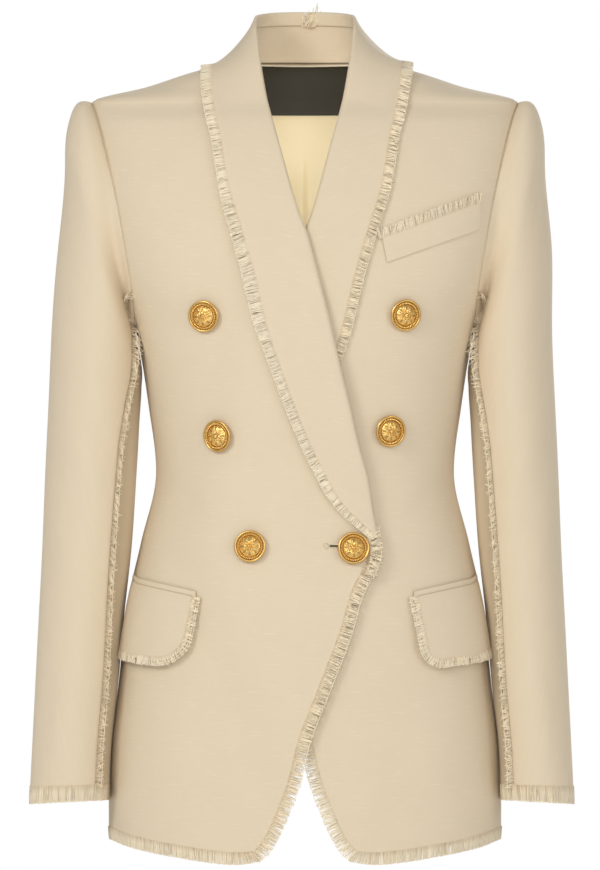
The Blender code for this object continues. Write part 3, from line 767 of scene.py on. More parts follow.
def mark(piece: Piece, name: str, values: Array) -> None:
    """Store a number or a vector on each of a piece's points."""
    kind, key = ("FLOAT", "value") if values.ndim == 1 else ("FLOAT_VECTOR", "vector")
    data = piece.data.attributes.new(name, kind, "POINT").data
    data.foreach_set(key, values.astype(np.float32).ravel())


def made_of(finish: type) -> Material:
    """A dataclass field that holds a finish's material."""
    return field(default_factory=lambda: finish().material())


@dataclass
class Workroom:
    """Makes finished pieces from grids of points and hands them to the frame."""

    linen: Material = made_of(LinenFinish)
    yarn: Material = made_of(ThreadFinish)
    satin: Material = made_of(SatinFinish)
    ribbon: Material = made_of(RibbonFinish)
    gilt: Material = made_of(GiltFinish)
    # painted shade for the inside of the buttonhole's slit
    dark: Material = made_of(DarkFinish)
    least_fill: float = 0.3       # least share of its flat size that a sheet's area may be
    least_flat: float = 0.01      # least width or length of a sheet, in metres
    sheets: list = field(default_factory=list)

    def hand_over(self, piece: Piece, node: str | None) -> None:
        """Let a piece ride with the blazer and stand for its CAD node.

        Args:
            piece: the finished object.
            node: the CAD node that it replaces, if it has one.
        """
        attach(piece, "root")
        if node:
            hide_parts(node)
        log.info("%s: %d faces", piece.name, len(piece.data.polygons))

    def cloth(self, name: str, points: Array, wall: float | Array, flip: bool,
              outside: bool = False, material: Material | None = None, slot: Slot = Slot.CLOTH,
              line: Array | None = None, grain_x: float | None = None) -> Piece:
        """A closed piece of cloth with its wall, measures and sewn lines.

        Args:
            name: the piece's name.
            points: rows, columns, xyz, rows down and columns to the left, seen from outside.
            wall: thickness of the cloth, one for all points or one for each.
            flip: true where the columns run the other way.
            outside: whether the wall lies outside the points, or inside them.
            material: finish, or none for linen.
            slot: the record's slot; not used.
            line: distance of each point from a sewn line, scaled down where it spreads painted
                shade; none where nothing is sewn.
            grain_x: where an upright thread runs, or none where threads follow the columns.

        Returns:
            The finished object.
        """
        thick = grid_normals(points, flip) * np.broadcast_to(wall, points.shape[:2])[..., None]
        outer, inner = (points + thick, points) if outside else (points, points - thick)
        rows, columns = points.shape[:2]
        count = rows * columns
        index = np.arange(count).reshape(rows, columns)
        quads = np.stack([index[:-1, :-1], index[1:, :-1], index[1:, 1:], index[:-1, 1:]], -1)
        quads = quads.reshape(-1, 4)
        loop = np.concatenate([index[0, :-1], index[:-1, -1], index[-1, :0:-1], index[:0:-1, 0]])
        ahead = np.roll(loop, -1)
        rim = np.stack([loop, ahead, ahead + count, loop + count], -1)
        faces = np.concatenate([quads, quads[:, ::-1] + count, rim])
        if flip:
            faces = faces[:, ::-1]
        places = np.concatenate([outer.reshape(-1, 3), inner.reshape(-1, 3)])
        piece = new_piece(name, places, faces.tolist(), material or self.linen)
        mesh = piece.data
        across = travelled(points, axis=1)
        start = across[:, columns // 2]
        along = travelled(points)
        if grain_x is not None:
            x = points[..., 0]
            turn = np.sign(x[0, -1] - x[0, 0])
            rows = zip(x, across)
            start = np.array([np.interp(grain_x * turn, row * turn, gone) for row, gone in rows])
            along = points[..., 2].max() - points[..., 2]
        across = across - start[:, None]
        measures = np.tile(np.stack([across, -along], -1).reshape(-1, 2), (2, 1)) * MM
        corners = np.zeros(len(mesh.loops), int)
        mesh.loops.foreach_get("vertex_index", corners)
        mesh.uv_layers.new(name="cloth").data.foreach_set("uv", measures[corners].ravel())
        # sewn lines, and on the under sleeves a wide band of painted shade
        marks = np.full(count, FAR) if line is None else line.ravel()
        mark(piece, "sewn_line", np.tile(marks, 2))
        mesh.shade_smooth()
        ends = np.zeros(len(mesh.edges) * 2, int)
        mesh.edges.foreach_get("vertices", ends)
        on_rim = np.isin(ends % count, loop).reshape(-1, 2).all(axis=1)
        same_face = np.ptp(ends.reshape(-1, 2) // count, axis=1) == 0
        mesh.edges.foreach_set("use_edge_sharp", on_rim & same_face)
        self.hand_over(piece, name)
        self.sheets.append((piece, points, []))
        return piece

    def goes_with(self, piece: Piece, trim: Piece) -> None:
        """Note that a trim is on a sheet of cloth."""
        for sheet, _, trims in self.sheets:
            if sheet == piece:
                trims.append(trim)

    def declare(self) -> None:
        """Measure every sheet's flat size along its own rows and columns, and its area; nothing is
        done with them.
        """
        for piece, points, trims in self.sheets:
            width = travelled(points, axis=1)[:, -1].max() * MM
            length = travelled(points)[-1].max() * MM
            low, side = points[1:, :-1], points[:-1, 1:]
            corners = (points[:-1, :-1], points[1:, 1:])
            halves = [np.cross(low - corner, side - corner) for corner in corners]
            area = sum(np.linalg.norm(half, axis=-1) for half in halves).sum() / 2 * MM ** 2
            area = float(np.clip(area, self.least_fill * width * length, width * length))


def seam_roll(points: Array, flip: bool, ends: tuple = (True, True), depth: float = 0.7,
              width: float = 1.5) -> Array:
    """Turn the side edges of a panel softly into their seams.

    Args:
        points: the panel's outer face.
        flip: true where its columns run the other way.
        ends: whether the first and the last column lie at a seam.
        depth: how far an edge turns in.
        width: how far from the seam the turn is felt.

    Returns:
        The moved points.
    """
    reach = travelled(points, axis=1)
    dip = np.zeros(reach.shape)
    for sewn, far in zip(ends, (reach, reach[:, -1:] - reach)):
        if sewn:
            dip += np.exp(-(far / width) ** 2)
    return points - grid_normals(points, flip) * (dip * depth)[..., None]


def thinned(points: Array, wall: float, edges: str, worn: float = 0.55,
            width: float = 3.5) -> Array:
    """Walls of a panel that thins out towards its frayed edges.

    Args:
        points: the panel's face.
        wall: thickness of the cloth.
        edges: which edges fray, of "first" and "last" column and "low" row.
        worn: thickness at a frayed edge.
        width: how far from the edge the cloth is full.

    Returns:
        One thickness for each point.
    """
    across, along = travelled(points, axis=1), travelled(points)
    far = {"first": across, "last": across[:, -1:] - across, "low": along[-1:] - along}
    near = np.full(across.shape, width)
    for edge in edges.split():
        near = np.minimum(near, far[edge])
    return worn + (wall - worn) * smooth_step(0, width, near)


def seam_columns(count: int, reach: float = 0.02) -> Array:
    """Shares across a panel, with a few close ones at each seam."""
    near = np.array([0.0, 0.15, 0.35, 0.62]) * reach
    middle = np.linspace(reach, 1 - reach, count)
    return np.concatenate([near, middle, 1 - near[::-1]])


@dataclass
class Fronts:
    """The two fronts: the wearer's right one laps over the left."""

    cut: Cut
    columns: int = 48
    wall: float = 1.6
    # z, distance from the centre of the faint dart that shapes each front
    dart: tuple = (
        (-236, 116.5), (-244, 116), (-304, 110), (-394, 105.5), (-433, 105), (-470, 107),
        (-478, 107.5),
    )
    dart_fade: float = 14.0
    dart_depth: float = 0.74      # how far off a sewn line the dart's own shade is read
    grain_x: float = 90.0         # an upright thread of the cloth runs here

    def grid(self, side: Side) -> tuple[Array, Array]:
        """Points of a front's outer face, and their distance from its dart."""
        cut = self.cut
        z = cut.panel_levels(cut.hem_front_z)[:, None]
        inner = cut.form.angle_at(-side.value * cut.inner_edge(z), z)
        outer = side.value * (cut.armhole_angle(z) - cut.seam_turn)
        share = seam_columns(self.columns)[None, :]
        angle = inner + (outer - inner) * share
        x = cut.form.skin(angle, z)[..., 0]
        height = cut.front_height(x, z, side)
        points = cut.form.lifted(angle, cut.towards_hem(z, x), height)
        points = seam_roll(points, side.is_right, (False, True))
        far = x * side.value - Track(self.dart)(z)
        top, low = self.dart[0][0], self.dart[-1][0]
        shown = smooth_step(0, self.dart_fade, z - low) * smooth_step(0, self.dart_fade, top - z)
        dart = np.abs(far) + (1 - shown) * FAR + self.dart_depth
        across = travelled(points, axis=1)
        return points, np.minimum(dart, across[:, -1:] - across)

    def build(self, room: Workroom) -> dict:
        """Make both fronts.

        Args:
            room: where pieces are finished.

        Returns:
            Each side's front.
        """
        made = {}
        for side in Side:
            points, line = self.grid(side)
            wall = thinned(points, self.wall, "first low")
            name = f"front_{side.word}"
            made[side] = room.cloth(name, points, wall, side.is_right, line=line,
                                    grain_x=side.value * self.grain_x)
        return made


@dataclass
class Backs:
    """The two backs with their lining and the bare label at the neck."""

    cut: Cut
    columns: int = 40
    wall: float = 1.6
    thin: float = 1.0
    lining_top_z: float = -1.5
    lining_hem_z: float = -520.0
    lining_depth: float = 3.5     # in from the outer face, and a little more at the sides
    lining_edge_depth: float = 4.6
    pleat_depth: float = 2.6
    ripple: float = 0.5
    label_depth: float = 8.1
    label_bow: float = 0.003
    label_half_width: float = 48.0
    label_top: float = -2.5
    label_low: float = -47.0
    label_hem: float = 0.25       # how far its turned ends stand off
    # the centre back is open below the vent's top: half its width at the hem, and its curve
    vent_top_z: float = -540.0
    vent_half_width: float = 36.0
    vent_curve: float = 1.3
    centre_turn: float = 0.02     # angle from the centre back to a back's edge
    grain_x: float = 60.0         # an upright thread of the cloth runs here

    def centre_angle(self, z: Array) -> Array:
        """Angle of a back's inner edge: just short of the centre, and aside at the vent."""
        share = np.clip((self.vent_top_z - z) / (self.vent_top_z - self.cut.hem_side_z), 0, 1)
        aside = self.cut.form.angle_at(self.vent_half_width * share ** self.vent_curve, z)
        return 180 - np.maximum(self.centre_turn, aside)

    def build(self, room: Workroom) -> dict:
        """Make both backs, the lining and the label.

        Args:
            room: where pieces are finished.

        Returns:
            Each side's back.
        """
        cut = self.cut
        made = {}
        for side in Side:
            z = cut.panel_levels(cut.hem_side_z)[:, None]
            share = seam_columns(self.columns)[None, :]
            start = 180 - cut.armhole_angle(z) + cut.seam_turn
            angle = side.value * (start + (self.centre_angle(z) - start) * share)
            x = cut.form.skin(angle, z)[..., 0]
            height = relief(cut.back_creases, x * side.value, z)
            points = seam_roll(cut.form.lifted(angle, z, height), side.is_right)
            wall = thinned(points, self.wall, "low")
            made[side] = room.cloth(f"back_{side.word}", points, wall, side.is_right,
                                    grain_x=side.value * self.grain_x)
        self.build_lining(room)
        self.build_label(room)
        return made

    def pleat(self, x: Array, z: Array) -> Array:
        """How far the lining stands in from the back at its centre pleat and its ripples."""
        opened = smooth_step(-70, -118, z)
        fold = smooth_step(-16, -1.0, x) * (1 - smooth_step(-1.0, 1.2, x))
        low = smooth_step(-60, -120, z)
        wave = np.sin(x / 9.0 + z / 55.0) * smooth_step(0, 60, 75 - np.abs(x))
        return self.pleat_depth * opened * fold + self.ripple * wave * low

    def build_lining(self, room: Workroom) -> None:
        """Make the lining over the inner side of both backs."""
        cut = self.cut
        upper = np.linspace(self.lining_top_z, cut.shoulder_z, 30)
        lower = np.linspace(cut.shoulder_z - 2, self.lining_hem_z, 90)
        z = np.concatenate([upper, lower])[:, None]
        start = 180 - cut.armhole_angle(z) + cut.seam_turn
        t = np.linspace(-1, 1, 121)
        spread = (np.sign(t) * np.abs(t) ** 1.5)[None, :]
        angle = 180 + spread * (180 - start)
        x = cut.form.skin(angle, z)[..., 0]
        edge = smooth_step(0.8, 1.0, np.abs(spread)) * (self.lining_edge_depth - self.lining_depth)
        depth = self.lining_depth + edge + np.maximum(0, self.pleat(x, z))
        points = cut.form.lifted(angle, z, -depth)
        room.cloth("back_lining", points, self.thin, False, True, room.satin, Slot.LINING)

    def build_label(self, room: Workroom) -> None:
        """Make the bare ribbon across the inside of the back, just under the neck seam."""
        cut = self.cut
        z = np.linspace(self.label_top, self.label_low, 30)[:, None]
        x = np.linspace(self.label_half_width, -self.label_half_width, 60)[None, :]
        angle = 180 - cut.form.angle_at(x, z)
        end = np.minimum(z - self.label_low, self.label_top - z)
        points = cut.form.skin(angle, z)
        depth = self.label_depth + self.label_bow * x ** 2
        points[..., 1] -= depth + self.label_hem * smooth_step(2.4, 1.6, end)
        room.cloth("neck_label", points, self.thin, False, True, room.ribbon, Slot.LABEL)


@dataclass
class ShawlCollar:
    """Shawl collar in one with the lapels, its stand and the edge that the fray grows from."""

    cut: Cut
    leaf: float = 1.4             # thickness of the collar's leaf
    wall: float = 1.6
    roll_turn: float = 1.4
    roll_radius: float = 2.2
    step: float = 0.4             # between the places that a rounded row is read at
    blur: int = 14                # how many of them the rounding reaches
    straight_from: float = 176.0  # angle past which the stations are joined without a curve
    fray_inset: float = 0.8       # how far in from the cloth's edge the loose yarns start
    fray_out: float = 1.12
    dark_seam_z: float = 20.0     # the fold is darkened above this level
    join_passes: int = 30
    # round the neck from the centre back forward: angle on the neck seam, then x, y, z of the
    # roll, of the bend and of the tip of the fray, and how far it turns down inside the neck
    stations: tuple = (
        (180, 0.15, 58, 46, 0.15, 73, 34, 0.15, 76, -10, 12),
        (176, 3, 58, 46, 4, 73, 34, 5, 76, -10, 12),
        (150, 24, 52, 45.5, 32, 68, 33, 45, 70.5, -11, 12),
        (120, 39, 32, 44, 54, 42, 20, 80, 43.5, -7.5, 12),
        (93, 44, 5, 41, 60, 6, 0, 92, 5, -5, 12),
        (68, 44, -20, 29, 61, -22, -1, 93.5, -20, -6.5, 8),
        (48, 42.5, -37, 13, 64, -37, -4, 94, -36, -11.5, 3),
    )
    # how much higher and wider the collar's edge stands
    edge_rise: dict = per_side(0.0, 4.0)
    # z of the roll line, how far a row drops towards its edge
    row_drop: tuple = ((-8, 20), (-48, 20), (-155, 14), (-343, 6), (-415, 1))
    # distance from the roll line, height of the lapel over the front
    heights: tuple = ((0, -1.4), (0.5, 0.8), (3, 1.3), (12, 1.4), (60, 1.9))
    # z, how far the lapel's roll stands up softly, and how wide that roll is
    roll_height: tuple = (
        (-8, 0.2), (-120, 0.8), (-230, 2.4), (-330, 3.4), (-390, 2.2), (-415, 0.8),
    )
    roll_width: float = 17.0
    point_z: float = -427.0       # the lapel's cloth narrows to a point here
    inside_shares: tuple = (0.0, 0.3, 0.55, 0.75, 0.9)
    lapel_inside: float = 0.5     # how far a lapel's rows start behind the roll line
    fall_columns: int = 34

    def __post_init__(self) -> None:
        """Turn the tables into tracks and the stations into curves."""
        self.drop = Track(self.row_drop)
        self.height = Track(self.heights)
        self.soft_roll = Track(self.roll_height)
        self.table = np.array(self.stations, float)[::-1]
        # shares of the way from the roll to the cloth's edge
        near = np.array([0.0, 0.012, 0.028, 0.05, 0.08])
        self.fall_shares = np.concatenate([near, np.linspace(0.12, 1, self.fall_columns)])

    def neck_seam(self, angle: Array) -> Array:
        """Foot of the collar stand on the inner side of the neck seam."""
        edge = self.cut.form.skin(angle, 0.0)
        return edge - unit(edge) * self.wall

    def neck_rows(self, side: Side, angles: Array) -> tuple[Array, Array]:
        """Rows round the neck, from inside over the roll and out to the cloth's edge.

        Args:
            side: which collar.
            angles: places round the neck seam, from the centre back forward.

        Returns:
            The rows' points, and the tip of the fray for each row.
        """
        known, columns = self.table[:, 0], self.table[:, 1:]
        values = spline(known, columns, angles)
        straight = angles >= self.straight_from
        values[straight] = read_path(angles[straight], known, columns)
        rows, tips = [], []
        for angle, row in zip(angles, values):
            roll, bend, tip = row[:9].reshape(3, 3) * (side.value, 1, 1)
            front = min(1.0, (180 - angle) / 90)
            lift = self.edge_rise[side] * front * np.array([side.value, 0, 1])
            bend, tip = bend + lift / 2, tip + lift
            inside = row[9]
            start = roll + unit(self.neck_seam(side.value * angle) - roll) * inside
            t = np.linspace(0, 1, 160)[:, None]
            fall = (1 - t) ** 2 * roll + 2 * t * (1 - t) * bend + t ** 2 * tip
            turned = start + (roll - start) * np.linspace(0, 1, 30)[:-1, None]
            gone, path = self.rounded(np.concatenate([turned, fall]))
            cloth = gone[-1] - inside - self.cut.edge_fray
            places = np.concatenate([
                inside * np.array(self.inside_shares), inside + cloth * self.fall_shares,
            ])
            rows.append(read_path(places, gone, path))
            tips.append(tip)
        return np.array(rows), np.array(tips)

    def rounded(self, line: Array) -> tuple[Array, Array]:
        """A path with its corners softly rounded.

        Args:
            line: the path's points.

        Returns:
            Even distances along the path, and its rounded points there.
        """
        gone = travelled(line)
        even = np.append(np.arange(0, gone[-1], self.step), gone[-1])
        path = read_path(even, gone, line)
        kernel = np.exp(-(np.arange(-self.blur, self.blur + 1) * self.step / self.roll_radius) ** 2)
        before = 2 * path[0] - path[self.blur:0:-1]
        after = 2 * path[-1] - path[-2:-self.blur - 2:-1]
        padded = np.concatenate([before, path, after])
        soft = [np.convolve(column, kernel / kernel.sum(), "valid") for column in padded.T]
        return even, np.stack(soft, -1)

    def lapel_rows(self, side: Side, levels: Array) -> tuple[Array, Array]:
        """Rows across a lapel, from behind the roll line over the front to the cloth's edge.

        Args:
            side: which lapel.
            levels: z of the roll line at each row.

        Returns:
            The rows' points, and the tip of the fray for each row.
        """
        cut = self.cut
        z = levels[:, None]
        roll = cut.roll_x(z) - self.roll_turn
        tip_z = z - self.drop(z)
        tip = cut.lapel_tip_x(tip_z)
        length = np.hypot(roll - tip, z - tip_z)
        start = self.lapel_inside
        inside = np.tile(np.array(self.inside_shares) * start, (len(levels), 1))
        fall = start + (length - cut.edge_fray - start) * self.fall_shares[None, :]
        reach = np.concatenate([inside, fall], 1)
        soft = self.soft_roll(z) * np.exp(-((reach - 3) / self.roll_width) ** 2)
        out = self.height(reach) + soft * smooth_step(-0.4, 1.5, reach)
        flip = -side.value
        share = reach / length
        x = flip * (roll + (tip - roll) * share)
        points = cut.face(x, z + (tip_z - z) * share, out, side)
        tips = cut.face(flip * tip, tip_z, self.height(length), side)
        return points, tips[:, 0]

    def grid(self, side: Side) -> tuple[Array, Array]:
        """All rows of a collar with its lapel, and the tip of the fray at each row."""
        angles = np.concatenate([[180, 178], np.linspace(176, 52, 34)])
        neck, neck_tips = self.neck_rows(side, angles)
        levels = np.concatenate([np.linspace(-12, -400, 92), np.linspace(-403, self.point_z, 11)])
        lapel, lapel_tips = self.lapel_rows(side, levels)
        known = np.concatenate([neck, lapel])
        tips = np.concatenate([neck_tips, lapel_tips])
        middle = known[:, known.shape[1] // 2]
        places = travelled(middle)
        bridge = np.linspace(places[len(neck) - 1], places[len(neck)], 9)[1:-1]
        wanted = np.sort(np.concatenate([places, bridge]))
        points = spline(places, known, wanted)
        fray = spline(places, tips, wanted)
        first, last = len(neck) - 5, len(neck) + len(bridge) + 5
        for _ in range(self.join_passes):
            for grid in (points, fray):
                mean = (grid[first - 1:last - 1] + grid[first + 1:last + 1]) / 2
                grid[first:last] += 0.5 * (mean - grid[first:last])
        return points, fray

    def build(self, room: Workroom) -> dict:
        """Make both collars and the stand.

        Args:
            room: where pieces are finished.

        Returns:
            For each side, the collar, its cloth edge and the tips of its fray.
        """
        made = {}
        for side in Side:
            points, tips = self.grid(side)
            name = f"shawl_collar_{side.word}"
            flip = side.is_right
            wall = thinned(points, self.leaf, "last")
            line = np.where(points[..., 2] > self.dark_seam_z, travelled(points, axis=1), FAR)
            piece = room.cloth(name, points, wall, flip, True, line=line)
            normals = grid_normals(points, flip)[:, -1]
            edge, inner = points[:, -1], points[:, -4]
            root = edge + unit(inner - edge) * self.fray_inset + normals * self.fray_out
            made[side] = (piece, root, tips, normals)
        self.build_stand(room)
        return made

    def build_stand(self, room: Workroom) -> None:
        """Make the band from the neck seam up to the collar's turn."""
        angles = np.linspace(48, 180, 60)
        values = spline(self.table[:, 0], self.table[:, 1:], angles)
        left = (180 - angles) / (180 - self.straight_from)
        values[:, 0] = np.where(left < 1, values[:, 0] * left, values[:, 0])
        gap = self.cut.seam_gap
        seam = self.neck_seam(angles)
        roll = values[:, 0:3]
        reach = 1 - (values[:, 9] + gap) / np.linalg.norm(roll - seam, axis=1)
        share = np.linspace(1, 0, 14)[:, None, None] * reach[None, :, None]
        half = seam[None] + (roll - seam)[None] * share + np.array([0, 0, gap])
        points = np.concatenate([half, half[:, -2::-1] * (-1, 1, 1)], 1)
        gone = travelled(points)
        line = np.minimum(gone, gone[-1:] - gone)
        room.cloth("collar_stand", points, self.wall, False, True, line=line)


@dataclass
class Sleeves:
    """Two-piece sleeves, set into the armholes."""

    cut: Cut
    wall: float = 1.6
    seam_z: float = -207.0        # where the sleeve's two seams meet the armhole
    # outer x, outer z, inner x, inner z, centre y, half depth, angles of the two seams
    rings: tuple = (
        (203, -35.5, 156.5, -245, 0, 59, 149.6, 134),
        (212, -50, 153.5, -254, -1, 60, 148.9, 134),
        (216.5, -95, 150, -267, -2, 62.5, 144, 132),
        (222.5, -165, 147.5, -287, -3, 62, 141, 129),
        (228, -232, 148.6, -314, -4, 60.5, 135, 124),
        (231, -300, 150.3, -345, -5, 58, 127.6, 118),
        (234.5, -375, 152.5, -382, -7, 54, 124.5, 113),
        (237, -440, 156.5, -440, -11, 50.5, 123, 110),
        (240, -500, 163, -500, -17, 47, 127, 111),
        (243, -560, 168.2, -560, -23, 44, 130, 113),
        (246, -620, 174.5, -619, -28, 41.5, 131.5, 116),
        (247.8, -656, 176, -654, -30, 40.5, 131, 118),
    )
    cuff_tip: tuple = (248.8, -670, 176.5, -668, -30.5, 40.3)
    # how much nearer the body a sleeve hangs, low down, where that starts and its ramp
    slim: dict = per_side(0.0, 5.8)
    # out of the form and aside, of the rows that lie behind the body panels
    tuck: tuple = ((-4.0, -5.0), (-2.4, -2.2), (-1.2, -0.5))
    near_armhole: tuple = (0.0007, 0.0016, 0.0028)
    head: float = 0.3             # how far the sleeve head stands up past its seam
    head_dip: float = 0.4         # how far the cloth dips at the seam itself
    seam_space: float = 0.2       # angle from a seam to a piece's edge
    # z, how far a sleeve swells out towards the body just below the armhole
    swell: tuple = (
        (-204, 0), (-218, 1.8), (-232, 2.6), (-246, 3.0), (-252, 2.4), (-258, 1.9), (-276, 1.6),
        (-292, 0),
    )
    swell_width: float = 34.0     # angle
    seam_shade: float = 36.0      # width of the painted shade across the under sleeve, from the front seam under its fray
    line_away: float = 0.35       # how far off a sewn line the armhole seam's shade is read
    slim_top_z: float = -165.0
    slim_ramp: float = 75.0
    rows: int = 150
    crowding: float = 0.35
    top_columns: int = 46
    under_columns: int = 28
    # angle and z of each crease's two ends
    creases: tuple = (
        Crease((70, -300), (132, -352), -1.3, 12, 4),
        Crease((38, -338), (118, -396), 1.1, 13, -5),
        Crease((112, -384), (40, -424), -1.2, 12, 4),
        Crease((20, -402), (92, -470), 0.8, 15, 0),
        Crease((96, -470), (84, -640), 1.1, 14, 7),
        Crease((48, -520), (40, -645), -0.9, 13, -4),
        Crease((-30, -330), (-104, -372), -1.6, 13, 5),
        Crease((-22, -378), (-98, -410), 1.4, 12, -4),
        Crease((-40, -424), (-108, -436), -1.2, 12, 3),
        Crease((-70, -480), (-62, -642), 1.0, 15, 5),
        Crease((30, -70), (70, -150), -0.7, 12, 5),
        Crease((-34, -72), (-76, -160), -0.9, 13, -5),
    )

    def __post_init__(self) -> None:
        """Find the middle of the armhole and half its height."""
        top, foot = self.cut.shoulder_z, self.cut.underarm_z
        self.middle_z, self.half_height = (top + foot) / 2, (top - foot) / 2

    def armhole_point(self, side: Side, angle: Array, out: float = 0.0,
                      aside: float = 0.3) -> Array:
        """Points of the armhole.

        Args:
            side: which sleeve.
            angle: 0 is the shoulder tip, 180 the underarm.
            out: distance out of the body's form.
            aside: distance away from the body across.

        Returns:
            One point for each angle.
        """
        z = self.middle_z + self.half_height * np.cos(np.radians(angle))
        form = self.cut.form
        body = form.angle_at(self.cut.armhole_x(z), z)
        body = np.where(np.sin(np.radians(angle)) < 0, 180 - body, body)
        return form.lifted(side.value * body, z, out) + np.array([side.value * aside, 0, 0])

    def seam_angle(self) -> float:
        """Angle round the armhole at which the sleeve's two seams meet it."""
        return float(np.degrees(np.arccos((self.seam_z - self.middle_z) / self.half_height)))

    def ring_point(self, side: Side, ring: tuple, angle: Array) -> Array:
        """Points of a ring: angle 0 is outermost, 90 the front, 180 next to the body."""
        outer_x, outer_z, inner_x, inner_z, y, depth = ring[:6]
        low = min(1.0, max(0.0, (self.slim_top_z - outer_z) / self.slim_ramp))
        outer_x -= self.slim[side] * low
        across, ahead = np.cos(np.radians(angle)), np.sin(np.radians(angle))
        x = (outer_x + inner_x) / 2 + (outer_x - inner_x) / 2 * across
        z = (outer_z + inner_z) / 2 + (outer_z - inner_z) / 2 * across
        return np.stack([side.value * x, y - depth * ahead, z], -1)

    def angles(self, under: bool, seams: tuple, space: float, count: int) -> Array:
        """Angles of a piece's columns on one ring, from one seam to the other."""
        front, back = seams
        share = seam_columns(count, 0.03)
        if not under:
            return (-back + space) + (front - space + back - space) * share
        low, high = front + space, 360 - back - space
        first = low + (180 - low) * np.clip(share * 2, 0, 1)
        return first + (high - 180) * np.clip(share * 2 - 1, 0, 1)

    def grid(self, side: Side, under: bool) -> Array:
        """Points of a sleeve piece's outer face."""
        count = self.under_columns if under else self.top_columns
        seam = self.seam_angle()
        start = self.angles(under, (seam, seam), self.seam_space, count)
        there = (start + 180) % 360 - 180
        rings = [self.armhole_point(side, there)]
        turns = [start]
        for ring in self.rings:
            turn = self.angles(under, ring[6:8], self.seam_space, count)
            rings.append(self.ring_point(side, ring, turn))
            turns.append(turn)
        known, turned = np.array(rings), np.array(turns)
        gone = travelled(known)
        share = np.sort(np.append(crowded(self.rows, self.crowding), self.near_armhole))
        points = np.empty((len(share), known.shape[1], 3))
        angle = np.empty(points.shape[:2])
        for column in range(known.shape[1]):
            places = share * gone[-1, column]
            points[:, column] = spline(gone[:, column], known[:, column], places)
            angle[:, column] = np.interp(places, gone[:, column], turned[:, column])
        angle = (angle + 180) % 360 - 180
        flip = side is Side.LEFT
        z, down = points[..., 2], travelled(points)
        height = relief(self.creases, angle, z) + self.head * np.exp(-((down - 7) / 6) ** 2)
        height = height - self.head_dip * np.exp(-(down / 1.2) ** 2)
        close = np.exp(-((180 - np.abs(angle)) / self.swell_width) ** 2)
        height = height + Track(self.swell)(z) * close
        points = points + grid_normals(points, flip) * height[..., None]
        points = seam_roll(points, flip)
        tucked = [self.armhole_point(side, there, *move) for move in self.tuck]
        return np.concatenate([tucked, points])

    def build(self, room: Workroom) -> dict:
        """Make the four sleeve pieces.

        Args:
            room: where pieces are finished.

        Returns:
            For each side, its top sleeve, its under sleeve and their grids.
        """
        made = {}
        for side in Side:
            flip = side is Side.LEFT
            pieces = []
            for word, under in (("top", False), ("under", True)):
                points = self.grid(side, under)
                wall = thinned(points, self.wall, "low")
                gone = travelled(points)
                line = np.abs(gone - gone[len(self.tuck)]) + self.line_away
                # painted shade: the under sleeve darkens over a wide band from its front seam
                if under:
                    line = travelled(points, axis=1) / self.seam_shade
                name = f"{word}_sleeve_{side.word}"
                pieces.append((room.cloth(name, points, wall, flip, line=line), points))
            made[side] = pieces
        return made


